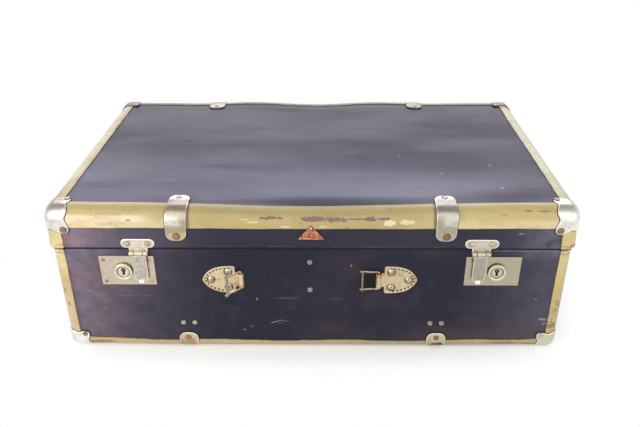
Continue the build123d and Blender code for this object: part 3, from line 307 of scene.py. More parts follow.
# the front is paler towards its ends, most at the left and on the lid: partly rubbed and stained, partly painted
# glare of the side lamps
facing_front = navy.zone(y=(-120, -175))
above_seam = navy.zone(z=(seam_z - 25, seam_z + 10)) * 0.42 + 0.63
on_lid_front = facing_front * navy.zone(z=(seam_z, seam_z + 3))
navy.coat(on_lid_front * 0.6, (0.026, 0.025, 0.042))
navy.coat(navy.zone(x=(-90, -270)) * facing_front * above_seam * (mottle * 0.8 + cloud * 0.8), (0.125, 0.105, 0.145))
wear_and_glare_left = mottle.between(0.32, 0.68) * 0.6 + cloud * 0.9 + 0.2
blotch = navy.at.plus(0.6, 0.1, 0.3).noise(38, 4.0, 0.6).between(0.4, 0.62)
blotch = blotch.mix((0.215, 0.18, 0.235), (0.3, 0.185, 0.19))
navy.coat(navy.zone(x=(-200, -312)) * facing_front * above_seam * wear_and_glare_left, blotch)
wear_and_glare_right = navy.zone(x=(170, 330)) * facing_front * (mottle * 0.9 + 0.35)
navy.coat(wear_and_glare_right * (0.9 - on_lid_front * 0.25), (0.088, 0.084, 0.122))
by_seam = navy.zone(x=(210, 300), z=(seam_z - 22, seam_z - 6)) * facing_front
navy.coat(by_seam * mottle.between(0.25, 0.6) * 0.6, (0.19, 0.165, 0.21))
# the top is painted with a sheen towards the front, in long soft streaks, left dark just behind the binding as painted
# shade
on_top = navy.zone(z=(176, 184), y=(-178, -168))
sheen_streaks = navy.at.times(0.4, 1.5, 1).plus(0.3, 0.2, 0.0).noise(13, 3.0, 0.55).between(0.36, 0.66)
front_third = navy.zone(y=(0, -110)) * (1 - navy.zone(x=(80, 280)) * 0.55)
shade_behind_binding = navy.mark((30, -158, 188), (110, 13, 16), 0, 0.1, 0.6)
shade_behind_binding = shade_behind_binding + navy.mark((235, -154, 194), (75, 16, 16), 0, 0.1, 0.6)
painted_top_sheen = on_top * (front_third * (sheen_streaks * 0.35 + 0.65) + sheen_streaks * 0.25)
navy.coat(painted_top_sheen * (1 - (shade_behind_binding * 0.85)), (0.112, 0.106, 0.15))
left_shade = navy.mark((-232, 25, 196), (70, 60, 20), 0, 0.1, 0.7) * on_top
navy.coat(left_shade * 0.62, (0.012, 0.012, 0.018))
back_stain = navy.mark((-40, 160, 196), (250, 9, 12), 0, 0.15, 0.6) * on_top
navy.coat(back_stain * 0.5, (0.18, 0.125, 0.12))
# a painted highlight along the base's top edge, right of the right lock
painted_edge_highlight = navy.mark((246, -180, 140.6), (44, 9, 1.7), 0, 0.25, 0.5)
navy.coat(painted_edge_highlight * 0.4, (0.2, 0.19, 0.2))
# a painted shadow along the inner edge of the lid's left corner strip
shadow_beside_strip = navy.zone(x=(-283, 1.9, 0.7), z=(seam_z, seam_z + 2)) * facing_front
navy.coat(shadow_beside_strip * 0.85, (0.006, 0.006, 0.009))
# painted shade, with dirt, on the front inside the right loop
shade_under_loop = navy.mark((69.5, -180, 101), (9, 6, 9.5), 0, 0.0, 0.25)
navy.coat(shade_under_loop * 0.9, (0.001, 0.001, 0.0015))
worn_foot = facing_front * (cloud * 0.6 + navy.zone(z=(50, 8)) * 0.3).between(0.36, 0.66)
navy.coat(worn_foot * navy.zone(side=(80, 220)) * 0.4, (0.085, 0.055, 0.06))
# scratches and scuffs, each where a knock left it: place, half sizes, lean, strength
knocks = [
    ((-44, -180, 39.6), (6.5, 8, 0.55), 19, 0.5), ((-33.5, -180, 41), (6, 8, 0.4), -12, 0.35),
    ((-38, -180, 37.6), (3, 8, 0.4), 8, 0.3),
    ((-81.6, -180, 27.7), (1.3, 8, 0.9), 0, 0.5), ((-72.9, -180, 32.3), (1.2, 8, 0.9), 0, 0.4),
    ((45.6, -180, 120), (0.8, 8, 1.6), 0, 0.5), ((-65.3, -180, 72.7), (0.9, 8, 1.8), 12, 0.5),
    ((-30, -180, 74.3), (15, 8, 1.4), 0, 0.08), ((29, -180, 73.6), (9, 8, 1.2), 0, 0.05),
    ((-248, -180, 78.4), (12, 8, 0.6), -2, 0.14), ((-222, -180, 76.8), (13, 8, 0.5), 2, 0.16),
    ((-197, -180, 77.4), (9, 8, 0.6), -3, 0.12),
    ((-262, -180, 84), (3.4, 8, 0.8), -30, 0.3), ((-246, -180, 59), (3.2, 8, 0.6), 50, 0.25),
    ((-240, -180, 71), (4, 8, 0.5), -20, 0.15), ((234, -182, 163.6), (3.0, 8, 0.7), 4, 0.5),
    ((246, -182, 134), (9, 8, 0.3), 38, 0.2), ((252, -182, 131), (7, 8, 0.3), -28, 0.16),
    ((276, -180, 44.4), (5, 8, 1.4), -8, 0.5), ((279, -180, 38), (2.6, 8, 1.0), 20, 0.5),
    ((264, -180, 73.5), (1.6, 8, 0.7), 0, 0.5),
    ((221.6, -125, 196), (3.4, 1.6, 9), 0, 0.5), ((110.7, -29, 196), (2.4, 3.2, 9), 0, 0.25),
    ((156.8, -85.5, 196), (3, 3.6, 9), 0, 0.22), ((220.7, -61, 196), (1.4, 5, 9), 0, 0.3),
    ((-169, -107, 196), (12, 2.2, 9), 0, 0.12), ((-60, -160, 196), (40, 1.2, 12), 0, 0.16),
]
broad = 0.6
for middle, reach, turn, strength in knocks:
    navy.coat(navy.mark(middle, reach, turn, 0.35 if reach[2] > broad else 0.15) * strength, (0.42, 0.38, 0.4))
# the lid's lower edge is dark, with a line of shadow and dirt on the base below it
navy.coat(navy.zone(z=(seam_z - 1.9, 2.1, 1.2)) * 0.93, (0.001, 0.001, 0.002))
lid_rim = navy.zone(z=(seam_z + 1.7, 0.9, 0.4)) * facing_front
chafed = navy.at.times(1, 1, 0.1).noise(30, 4.0, 0.7).between(0.4, 0.65)
navy.coat(lid_rim * chafed * 0.4, (0.1, 0.09, 0.12))
sheen = navy.at.times(0.5, 1.3, 1.0).plus(0.2, 0.1, 0.4).noise(9, 2.0, 0.45).between(0.32, 0.68)
navy.set(Base_Color=navy.colour, Roughness=sheen * 0.16 + mottle * 0.1 + rub * 0.06 + 0.3)
navy.relief(navy.at.noise(900, 3.0, 0.6) * 0.6 + mottle * 0.8, 0.2 * mm)
give(navy, "base_front_panel", "base_back_panel", "base_left_panel", "base_right_panel", "base_bottom_panel")


# Inside the base: sawn pine battens fixed round the mouth to stiffen it, and the plain paper that is pasted over
# the walls and the bottom.
pine = Finish("batten_pine", Roughness=0.62)
lengthways = pine.at.times(2.2, 2.2, 30)
grain = lengthways.noise(9, 4.0, 0.6, 0.6)
wood = grain.node(
    "ShaderNodeValToRGB",
    {"stops": [(0.3, (0.46, 0.29, 0.14)), (0.5, (0.6, 0.42, 0.22)), (0.7, (0.36, 0.21, 0.1))]},
    Fac=grain,
)
flecks = pine.at.noise(700).between(0.6, 0.75) * 0.4
pine.set(Base_Color=flecks.mix(wood, (0.2, 0.12, 0.06)))
pine.relief(grain, 0.3 * mm)
give(pine, "base_rim_battens")

paper = Finish("lining_paper", Roughness=0.82)
fibres = paper.at.times(1, 1, 3).noise(420, 4.0, 0.7)
paper.colour = paper.at.noise(12, 3.0).between(0.35, 0.7).mix((0.5, 0.43, 0.31), (0.4, 0.33, 0.22))
damp = paper.at.plus(0.4, 0.2, 0.9).noise(16, 5.0, 0.7).between(0.6, 0.68)
paper.coat(damp * 0.6, (0.25, 0.17, 0.1))
paper.coat(fibres.between(0.5, 0.75) * 0.35, (0.6, 0.53, 0.4))
paper.set(Base_Color=paper.colour)
paper.relief(fibres + paper.at.noise(45, 3.0), 0.2 * mm)
give(paper, "base_lining")


# Base bindings: strips of khaki fibre folded over the bottom edges and the corners and riveted under the caps. Their
# upper edge has shrunk into waves. The khaki carries painted light: paler where the side lamps fall, darker on the lid
# rail's bent top.
def outwards(points, *groups):
    """A closed solid from points and arrays of faces by number, turned over if its volume came out negative."""
    fans = [group[:, [0, k, k + 1]] for group in groups for k in range(1, group.shape[1] - 1)]
    corners = points[np.concatenate(fans)]
    volume = np.einsum("ij,ij->", corners[:, 0], np.cross(corners[:, 1], corners[:, 2]))
    return points, [face for group in groups for face in (group if volume > 0 else group[:, ::-1]).tolist()]


def grid_faces(rows, columns, closed=False):
    """Four-sided faces of a grid of numbered points, joined round its columns if closed."""
    number = np.arange(rows * columns).reshape(rows, columns)
    if closed:
        number = np.concatenate([number, number[:, :1]], axis=1)
    return np.stack([number[:-1, :-1], number[1:, :-1], number[1:, 1:], number[:-1, 1:]], axis=-1).reshape(-1, 4)


def sheet(outer, inner):
    """A thin solid between two grids of points: both skins and the rim that joins their four sides."""
    rows, columns = outer.shape[:2]
    number = np.arange(rows * columns).reshape(rows, columns)
    rim = np.concatenate([number[0, :-1], number[:-1, -1], number[-1, :0:-1], number[:0:-1, 0]])
    beside = np.roll(rim, -1)
    skin = grid_faces(rows, columns)
    side = np.stack([rim, beside, beside + number.size, rim + number.size], axis=-1)
    points = np.concatenate([outer.reshape(-1, 3), inner.reshape(-1, 3)])
    return outwards(points, np.concatenate([skin, skin[:, ::-1] + number.size, side]))


def skinned(loops):
    """A solid skinned over closed loops of points, one after another, with a fan over the first and the last."""
    count, around = loops.shape[:2]
    points = np.concatenate([loops.reshape(-1, 3), loops[[0, -1]].mean(axis=1)])
    first = np.arange(around)
    last = first + (count - 1) * around
    starts = np.stack([np.full(around, count * around), first, np.roll(first, -1)], axis=-1)
    ends = np.stack([np.full(around, count * around + 1), np.roll(last, -1), last], axis=-1)
    return outwards(points, grid_faces(count, around, closed=True), starts, ends)


def fit(name, solids, finish, body, slot, *stands_for, tracks=None, sharp=40):
    """One piece from several closed solids: meshed, given its finish, and set riding on its body."""
    starts = np.cumsum([0] + [len(points) for points, _ in solids]).tolist()
    points = np.concatenate([points for points, _ in solids])
    faces = [[corner + start for corner in face] for start, (_, own) in zip(starts, solids) for face in own]
    mesh = bpy.data.meshes.new(name)
    mesh.from_pydata(points.tolist(), [], faces)
    mesh.shade_smooth()
    mesh.set_sharp_from_angle(angle=math.radians(sharp))
    if tracks is not None:
        kept = mesh.attributes.new("track", "FLOAT_VECTOR", "POINT")
        kept.data.foreach_set("vector", np.concatenate([own.reshape(-1, 3) for own in tracks]).ravel())
    mesh.materials.append(finish.material)
    made = bpy.data.objects.new(name, mesh)
    scene.collection.objects.link(made)
    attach(made, body)
    if stands_for:
        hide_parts(*stands_for)
    return made


def fit_tracked(name, made, *rest):
    """One piece from several pairs of a closed solid and its track."""
    solids, tracks = zip(*made)
    return fit(name, solids, *rest, tracks=tracks)


def rounded(points, level, low, high, bend):
    """Points of a sharp box, put on the box whose edges are rounded to the radii bend, and lifted by level: beyond
    the smaller box inside by bend, a point's offset is scaled to an ellipsoid of those radii."""
    core = np.clip(points, low + bend, high - bend)
    unit = (points - core) / bend
    unit = unit / np.linalg.norm(unit, axis=-1, keepdims=True)
    lift = unit / bend
    lift = lift / np.linalg.norm(lift, axis=-1, keepdims=True)
    return core + unit * bend + lift * np.asarray(level)[..., None]


corner_box, bottom_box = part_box("base_corner_bindings"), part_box("base_bottom_bindings")
base_low = np.array([corner_box[0].x, corner_box[0].y, bottom_box[0].z])
base_high = np.array([-base_low[0], -base_low[1], 1.0])
base_bend = np.full(3, 11.9 * mm)
binding_thickness = 1.2 * mm


def base_form(points, level):
    """The base's form: sharp points rounded, at a level above the bindings' outer face."""
    return rounded(points, level, base_low, base_high, base_bend)


def spread(low, high, band, fine, coarse):
    """Numbers from low to high, close together in a band at each end."""
    near = np.linspace(0, band, fine)
    middle = np.linspace(low + band, high - band, max(int((high - low - 2 * band) / coarse), 2) + 1)
    return np.concatenate([low + near[:-1], middle, (high - near[:-1])[::-1]])


def edge_point(corner, along, one, other, t, s):
    """Points by an edge: t along it from a corner, then -s over one face where s is negative, s over the other."""
    return (
        np.asarray(corner)
        + t[..., None] * np.asarray(along)
        + np.maximum(-s, 0)[..., None] * np.asarray(one)
        + np.maximum(s, 0)[..., None] * np.asarray(other)
    )


def ripple(t, size, seed):
    """A small wander along an edge: three sines of t, whose lengths and phases come from the seed."""
    draw = np.random.default_rng(seed)
    waves = []
    for length in (0.21, 0.083, 0.034):
        waves.append(size * draw.uniform(0.3, 0.6) * np.sin(t * 2 * np.pi / length + draw.uniform(0, 6.28)))
    return sum(waves)


def strip(
    form, corner, along, one, other, ends, widths, seed, mitre=(0, 0), step=6 * mm, wander=0.25 * mm, shrink=None
):
    """A binding round an edge: a grid of places along it (t) and across it (s from one width to the other), at its
    outer and its inner level; the width wanders along it, and an end may be mitred on either face. Its track holds
    t, s and the distance from the border."""
    s = np.concatenate([np.linspace(-1, 0, 13)[:-1], np.linspace(0, 1, 13)])
    t = np.linspace(0, 1, int(abs(ends[1] - ends[0]) / step) + 1)[:, None] + 0 * s
    along_there = ends[0] + t * (ends[1] - ends[0])
    one_width = widths[0] + ripple(along_there, wander, seed)
    other_width = widths[1] + ripple(along_there, wander, seed + 1)
    wide = np.where(s < 0, one_width, other_width)
    if shrink is not None:
        wide = np.where(s < 0, wide + shrink(along_there), wide)
    across_there = s * wide
    cut = np.where(s < 0, mitre[0] * -across_there, mitre[1] * across_there)
    along_there = np.clip(along_there, ends[0] + cut, ends[1] - cut)
    sharp_points = edge_point(corner, along, one, other, along_there, across_there)
    track = np.stack([along_there + 0 * s, across_there, wide * (1 - np.abs(s))], axis=-1)
    outer, inner = form(sharp_points, np.zeros(s.shape) + 0 * t), form(sharp_points, -binding_thickness + 0 * t)
    return sheet(outer, inner), np.stack([track, track])


khaki = Finish("khaki_fibre", Specular_IOR_Level=0.5)
place = khaki.at
border = khaki.track().part(2)
tone = place.times(0.5, 1, 1).noise(16, 3.0)
fine_tone = place.noise(150, 4.0, 0.6)
khaki.colour = (tone + fine_tone * 0.2).between(0.45, 0.75).mix((0.5, 0.41, 0.175), (0.43, 0.335, 0.125))
khaki.coat(fine_tone.between(0.35, 0.65) * 0.3, (0.56, 0.42, 0.2))
# painted shade on the rails' bent tops in the middle, and painted light low on the front rail towards its ends
khaki.coat(khaki.zone(z=(176, 190), side=(240, 100)) * 0.45, (0.34, 0.29, 0.12))
painted_low_light = khaki.zone(z=(174, 11, 3), y=(-150, -172), side=(50, 270)) * 0.65 * (1 - khaki.zone(x=(80, 200)) * 0.35)
khaki.coat(painted_low_light, (0.84, 0.69, 0.45))
# painted light and shade of the side lamps: darker in the middle, paler on the ends and at the corners, and a painted
# highlight on the left of the front rail; the right rail is greyer
for zone, strength, colour in (
    (khaki.zone(side=(200, 100), z=(160, 166), y=(-100, -140)), 0.4, (0.34, 0.27, 0.1)),
    (khaki.zone(side=(280, 292), z=(175, 188), y=(-140, -100)), 0.6, (0.82, 0.78, 0.62)),
    (khaki.zone(x=(-270, -285), z=(95, 120)) * khaki.zone(z=(170, 160)), 0.5, (0.84, 0.68, 0.38)),
    (khaki.zone(x=(-170, -200), y=(-150, -172), z=(182, 5.5, 2)), 0.6, (0.9, 0.74, 0.56)),
    (khaki.zone(x=(270, 285), z=(100, 130)) * khaki.zone(z=(175, 165)), 0.25, (0.74, 0.68, 0.34)),
    (khaki.zone(x=(270, 285), z=(178, 186)), 0.6, (0.56, 0.58, 0.38)),
):
    khaki.coat(zone * strength, colour)
stained = place.plus(0.1, 0.5, 0.9).noise(24, 5.0, 0.62).between(0.6, 0.72)
khaki.coat(stained * 0.4, (0.26, 0.18, 0.1))
blotchy = place.plus(0.3, 0.1, 0.7).times(0.35, 1, 1).noise(60, 4.0, 0.65).between(0.48, 0.62)
khaki.coat(blotchy * khaki.zone(z=(160, 172)) * 0.3, (0.34, 0.26, 0.09))
speck = place.plus(0.5, 0.2, 0.4).noise(330, 2.0, 0.5).between(0.69, 0.73)
khaki.coat(speck * place.noise(22).between(0.42, 0.58) * 0.8, (0.07, 0.035, 0.03))
khaki.coat(khaki.zone(x=(-270, -290), z=(120, 50)) * (fine_tone * 0.6 + 0.25), (0.68, 0.46, 0.35))
foot_tone = khaki.zone(x=(-100, 100)).mix((0.5, 0.38, 0.22), (0.3, 0.27, 0.18))
khaki.coat(khaki.zone(z=(17, 9)) * (fine_tone * 0.7 + 0.3), foot_tone)
far_tone = khaki.zone(x=(-20, 100)).mix((0.24, 0.175, 0.165), (0.3, 0.26, 0.16))
khaki.coat(khaki.zone(y=(140, 160), z=(187, 191)) * (fine_tone * 0.5 + 0.6), far_tone)
on_back = khaki.zone(y=(160, 174), z=(150, 175)) * place.times(0.3, 1, 1).noise(45, 4.0, 0.65).between(0.45, 0.6)
khaki.coat(on_back * 0.6, (0.16, 0.11, 0.09))
# pale scuffs, then the streaks where the top edge has been worn through to its purple brown core
for middle, reach, strength in (
    ((86.9, -182, 177.5), (6.5, 9, 3.6), 0.62), ((106, -182, 178.3), (9, 9, 2.6), 0.48),
    ((-28.8, -182, 172.5), (6, 9, 1.1), 0.5),
    ((-65.6, -182, 178.1), (7, 9, 0.9), 0.5), ((13.2, -182, 173), (4, 9, 1.2), 0.4),
    ((-202.9, -182, 180.3), (6.5, 9, 2.6), 0.35), ((-75, -182, 181), (5, 9, 0.7), 0.4),
):
    khaki.coat(khaki.mark(middle, reach, 0, 0.5, 0.15) * strength, (0.86, 0.8, 0.55))
worn = None
for middle, reach in (
    ((-44.5, -180, 182.4), (12, 9, 1.4)), ((3, -180, 181.6), (14, 9, 2.5)), ((26.6, -180, 181), (12.5, 9, 2.0)),
    ((50, -180, 181.7), (12, 9, 0.7)), ((65.5, -180, 181.8), (6.5, 9, 2.2)), ((81, -180, 182), (6.5, 9, 1.3)),
):
    patch = khaki.mark(middle, reach, 0, 0.85, 0.1)
    worn = patch if worn is None else worn.larger(patch)
khaki.coat(worn, (0.2, 0.125, 0.115))
for middle, reach in (
    ((-19.8, -181, 191), (2.2, 9, 0.7)), ((-11.4, -181, 192.5), (1.8, 9, 0.6)), ((47.6, -181, 189), (3, 9, 0.6)),
    ((107.8, -181, 193), (2.4, 9, 0.7)),
    ((39.5, -182, 171), (3.5, 9, 0.7)), ((87, -181, 190), (2.4, 9, 1.6)), ((-202.9, -182, 180), (3.2, 9, 1.3)),
    ((240, -181, 190.5), (5, 9, 0.7)), ((256, -181, 190), (7, 9, 0.6)), ((212, -181, 187), (4, 9, 0.5)),
    ((287, -181, 36), (4, 9, 5)), ((-291, -181, 84), (1.3, 9, 5)), ((-289, -181, 66), (1.1, 9, 3)),
    ((-258, -181, 9), (16, 9, 3)), ((232, -181, 9), (17, 9, 2.2)), ((262, -181, 7), (8, 9, 2)),
):
    khaki.coat(khaki.mark(middle, reach, 0, 0.8, 0.2) * 0.7, (0.14, 0.09, 0.055))
freckles = place.noise(520, 2.0, 0.5).between(0.6, 0.64) * khaki.mark((-241, -181, 188), (8, 12, 5.5), 0, 0.0, 0.5)
khaki.coat(freckles * 0.8, (0.1, 0.065, 0.05))
# the corner strips are cracked at the seam, the right one is worn to its core, and dirt lies along every border
cracked = place.times(0.4, 0.4, 1).noise(150, 4.0, 0.7).between(0.5, 0.58)
khaki.coat(cracked * khaki.zone(z=(seam_z + 4, 4.5, 1.5)) * 0.85, (0.36, 0.15, 0.05))
lines = [place.part(2) - (seam + lift * mm) + fine_tone * (3 * mm) for lift in (3.6, -8)]
lines = lines[0].near(1.5, 0.8, 0.3) + lines[1].near(1.5, 0.8, 0.3)
khaki.coat(lines * place.noise(110, 3.0).between(0.35, 0.5) * 0.8, (0.2, 0.09, 0.035))
worn_side = place.plus(0.2, 0.1, 0.0).noise(260, 4.0, 0.7).between(0.5, 0.57)
khaki.coat(worn_side * khaki.mark((294, -175, 52), (9, 14, 24), 0, 0.5, 0.5) * 0.8, (0.13, 0.085, 0.05))
# a painted shadow under the lid's edge, on the base's corner strips
khaki.coat(khaki.zone(z=(seam_z - 1.9, 1.4, 0.7)) * 0.85, (0.06, 0.035, 0.02))
# a painted shadow beside the inner sides of the lid's front clamps
khaki.coat(khaki.zone(side=(137, 2.4, 0.7), z=(166, 173), y=(-140, -160)) * 0.8, (0.15, 0.1, 0.04))
khaki.coat(border.past(0.75, 0.2) * place.noise(60, 3.0).between(0.3, 0.55) * 0.7, (0.09, 0.055, 0.035))
khaki.set(Base_Color=khaki.colour, Roughness=fine_tone * 0.16 + tone * 0.1 + worn * 0.2 + 0.27)
khaki.relief(fine_tone * 0.5 + place.noise(800, 2.0) * 0.3 - worn, 0.2 * mm)


def base_wave(t):
    """How much higher the strip stands near the ends than in the middle of an edge, with a slow wave."""
    rise, reach, drop, wave = 4.4 * mm, 0.28, 2.0 * mm, 0.9 * mm
    return rise * (np.abs(t) / reach) ** 3.5 - drop + wave * np.sin(t * 43)


def edge_strips(form, x_end, y_end, z, up, end_widths, front_widths, seed, shrink=None):
    """The strips along the four edges at height z: front, back, left and right, each from corner to corner and mitred
    on its flat face by the ratio of the two widths that meet there. Only the front and the back ones shrink."""
    mitre = end_widths[1] / front_widths[1]
    made = []
    for k, (out, sign) in enumerate(((1, -1), (1, 1), (0, -1), (0, 1))):
        corner, along, inwards = np.zeros((3, 3))
        corner[out], corner[2] = sign * (x_end, y_end)[out], z
        along[1 - out] = sign * (1 - 2 * out)
        inwards[out] = -sign
        half = (y_end, x_end)[out]
        widths, cut = ((end_widths, 1 / mitre), (front_widths, mitre))[out]
        shape = shrink if out else None
        ends = (-half, half)
        made.append(
            strip(form, corner, along, (0, 0, up), inwards, ends, widths, seed + 2 * k, (0, cut), shrink=shape)
        )
    return made


bottom_width = bottom_box[1].z - bottom_box[0].z
x_end, y_end, z_low = base_high[0], base_high[1], base_low[2]
bottom_widths = (bottom_width, bottom_width)
bottom_strips = edge_strips(base_form, x_end, y_end, z_low, 1, bottom_widths, bottom_widths, 1, base_wave)
fit_tracked("base_bottom_strips", bottom_strips, khaki, "base", "fibre_khaki", "base_bottom_bindings")

corner_top = corner_box[1].z
corner_width = 15 * mm
four_corners = [(sx, sy) for sx in (-1, 1) for sy in (-1, 1)]


def lipped(points, level):
    """The base's form, where the front corner strips' upper ends turn outwards under the lid's."""
    below_top, lip_height, lip_out = 7 * mm, 6 * mm, 2.0 * mm
    up = np.clip((points[..., 2] - corner_top + below_top) / lip_height, 0, 1)
    return base_form(points, level + lip_out * up**1.6 * (points[..., 1] < 0))


def upright_strips(form, x_end, y_end, ends, width, seed, step):
    """The strips up the four corners, from the lower to the upper of two ends."""
    return [
        strip(
            form, (sx * x_end, sy * y_end, 0), (0, 0, 1), (-sx, 0, 0), (0, -sy, 0), ends, (width, width), seed + 2 * k,
            step=step,
        )
        for k, (sx, sy) in enumerate(four_corners)
    ]


corner_strips = upright_strips(lipped, x_end, y_end, (z_low + 10 * mm, corner_top), corner_width, 11, 3 * mm)
fit_tracked("base_corner_strips", corner_strips, khaki, "base", "fibre_khaki", "base_corner_bindings")


# Base clamps: four strips of nickelled steel bent round the front and back edges over the bindings. Their ends are
# round, their edges are turned down a little, and a flat rivet holds each end.
nickel = Finish("worn_nickel", Metallic=1.0)
haze = nickel.at.noise(70, 4.0, 0.62)
dull = nickel.at.plus(0.3, 0.1, 0.6).noise(45, 5.0, 0.68)
on_cap = nickel.zone(side=(200, 260))
off_cap = 1 - on_cap
toward_right = nickel.zone(x=(-50, 50))
nickel.colour = toward_right.mix((0.68, 0.59, 0.44), (0.6, 0.57, 0.49))
nickel.coat(on_cap, (0.9, 0.88, 0.82))
nickel.coat(haze.between(0.4, 0.7) * (0.8 - on_cap * 0.3), (0.52, 0.45, 0.33))
nickel.coat(nickel.zone(z=(178, 160)) * off_cap * 0.45, toward_right.mix((0.76, 0.6, 0.34), (0.6, 0.52, 0.36)))
nickel.coat(dull.between(0.54, 0.66) * (0.75 - on_cap * 0.45), (0.45, 0.38, 0.28))
# tarnish, and painted shade, in a band just below the caps' tops
tarnish_and_shade = nickel.zone(z=(top_z - 9, top_z - 2)) * dull.between(0.3, 0.55) * on_cap
nickel.coat(tarnish_and_shade * 0.8, (0.38, 0.35, 0.31))
# the lid's clamps, with painted reflections: darker bands, a tan inner side, a painted highlight patch, and a painted
# dark bend with a painted bright top behind it
painted_reflection_bands = nickel.zone(z=(184, 188.5), deep=(158, 173)) * 0.9 + nickel.zone(z=(169.5, 6, 2)) * 0.8
band_tone = toward_right.mix((0.44, 0.36, 0.25), (0.47, 0.455, 0.4))
nickel.coat(painted_reflection_bands * off_cap * (haze.between(0.25, 0.6) * 0.45 + 0.5), band_tone)
inner_side = nickel.zone(x=(-145, -140)) * nickel.zone(x=(-120, -125), z=(174, 9, 5))
nickel.coat(inner_side * 0.75, (0.46, 0.36, 0.19))
patch = nickel.zone(z=(179.5, 7.5, 3), side=(144, 150)) * off_cap
nickel.coat(patch * haze.between(0.25, 0.45) * 0.95, (0.92, 0.9, 0.85))
flat_top = nickel.zone(deep=(174, 167), side=(297, 290), z=(180, 185))
upper = flat_top * off_cap
nickel.coat(upper * 0.8, toward_right.mix((0.3, 0.25, 0.18), (0.28, 0.27, 0.21)))
painted_highlight_top = upper * nickel.zone(deep=(162, 150)) * (1 - toward_right * 0.35) * 0.95
nickel.coat(painted_highlight_top, toward_right.mix((1.0, 0.985, 0.94), (0.98, 0.965, 0.93)))
mottled = nickel.at.plus(0.4, 0.2, 0.3).noise(130, 5.0, 0.7).between(0.5, 0.6) * off_cap
nickel.coat(mottled * 0.4 * (1 - patch * 0.8), (0.36, 0.3, 0.21))
nickel.coat(off_cap * nickel.zone(z=(120, 140)) * (toward_right * 0.25 + 0.2), (0.36, 0.32, 0.24))
# painted shade on the caps' flat tops, mottled
nickel.coat(flat_top * on_cap * (dull * 0.4 + 0.4), (0.51, 0.44, 0.34))
nickel.coat(on_cap * toward_right * 0.35, (0.8, 0.86, 0.74))
# the foot is yellower, with rust and black on the right clamp and brown on the left, and the back is dark
nickel.coat(nickel.zone(z=(30, 15)) * off_cap * haze.between(0.3, 0.55) * 0.6, (0.62, 0.52, 0.34))
right_foot = nickel.zone(z=(45, 30), x=(100, 140))
nickel.coat(right_foot * (haze * 0.8 + 0.35), on_cap.mix((0.56, 0.52, 0.37), (0.52, 0.49, 0.33)))
nickel.coat(nickel.mark((141.5, -181, 5), (6, 8, 9), 0, 0.25, 0.4) * 0.85, (0.58, 0.36, 0.2))
nickel.coat(nickel.mark((152, -181, 5.5), (9, 9, 5), 0, 0.45, 0.25) * 0.92, (0.09, 0.065, 0.045))
nickel.coat(nickel.mark((-152, -181, 8), (9, 8, 9), 0, 0.7, 0.2) * 0.5, (0.3, 0.2, 0.1))
at_back = nickel.zone(y=(100, 140))
nickel.coat(at_back * (0.78 + on_cap * 0.12), on_cap.mix((0.34, 0.29, 0.23), (0.17, 0.125, 0.08)))
# a painted highlight along the rims of the clamps and caps, except at the back
rim = nickel.track().part(2).past(1.4, 0.5) * haze.between(0.3, 0.5) * (1 - at_back)
nickel.coat(rim * 0.55, (0.95, 0.92, 0.86))
pits = nickel.at.noise(420, 3.0, 0.6).between(0.68, 0.73)
nickel.coat(pits * 0.7, (0.16, 0.09, 0.05))
rough = haze * 0.25 + dull.between(0.5, 0.7) * 0.2 + tarnish_and_shade * 0.2 + off_cap * 0.15 + 0.14
nickel.set(Base_Color=nickel.colour, Roughness=rough)
nickel.relief(haze * 0.7 + nickel.at.noise(260, 3.0) * 0.2 - pits * 0.4, 0.2 * mm)

# a dark finish for dirt and painted shade: sheets round caps and clamps, rings round rivets, hasp pins, lock slides
grime_and_shade = Finish("grime_and_shade", Roughness=0.9)
grime_and_shade.set(Base_Color=grime_and_shade.at.noise(120, 3.0).between(0.4, 0.6).mix((0.035, 0.024, 0.014), (0.012, 0.009, 0.008)))
grime_thickness, clamp_rim, cap_rim = 0.3 * mm, 0.5 * mm, 0.9 * mm

clamp_thickness = 1.2 * mm
clamp_half = 11.8 * mm
clamp_corner = 9 * mm
clamp_out = 150.5 * mm


def turned_down(depth, thickness, rim):
    """Level of a pressed sheet's face by how far inside its outline it is: full beyond rim, round towards it."""
    return thickness * np.sqrt(np.clip(1 - (1 - np.clip(depth / rim, 0, 1)) ** 2, 0, 1))


def clamp(form, corner, one, other, drop, over, bulge=0.0, slant=0.0, thickness=clamp_thickness, grow=0.0):
    """A strip across an edge: s from -drop to over, u from side to side; near each end its half width falls along
    a quarter circle, and its level falls round near the outline. It may bulge sideways at the edge, as a bell
    curve of s, lean by slant * s, and grow outwards by a rim."""
    rows, columns, rim = 61, 25, 1.3 * mm
    crown_reach, bulge_below, bulge_reach = 20 * mm, 5 * mm, 14 * mm
    s = (over - drop) / 2 - (over + drop) / 2 * np.cos(np.linspace(0, np.pi, rows))[:, None]
    drop, over, s = drop + grow, over + grow, s * (1 + 2 * grow / (drop + over))
    u = np.sin(np.linspace(-1, 1, columns) * np.pi / 2)[None, :]
    to_end = np.clip(np.minimum(s + drop, over - s), 0, None)
    short = clamp_corner - np.clip(to_end, 0, clamp_corner)
    half = clamp_half + grow - clamp_corner + np.sqrt(clamp_corner**2 - short**2)
    side = np.abs(u) * half
    past = np.stack([side - clamp_half - grow + clamp_corner, clamp_corner - to_end + 0 * u])
    inside = clamp_corner - np.linalg.norm(np.maximum(past, 0), axis=0) - np.minimum(past.max(axis=0), 0)
    crown = 1 + bulge / mm * (1 - u**2) * np.exp(-((s / crown_reach) ** 2))
    level = turned_down(inside, thickness, rim) * crown
    half = half + bulge * np.exp(-(((s + bulge_below) / bulge_reach) ** 2))
    sharp_points = edge_point(corner, (1, 0, 0), one, other, u * half + slant * s, s + 0 * u)
    track = np.stack([s + 0 * u, u + 0 * s, inside + 0 * u * s], axis=-1)
    return sheet(form(sharp_points, level), form(sharp_points, 0 * level)), np.stack([track, track])


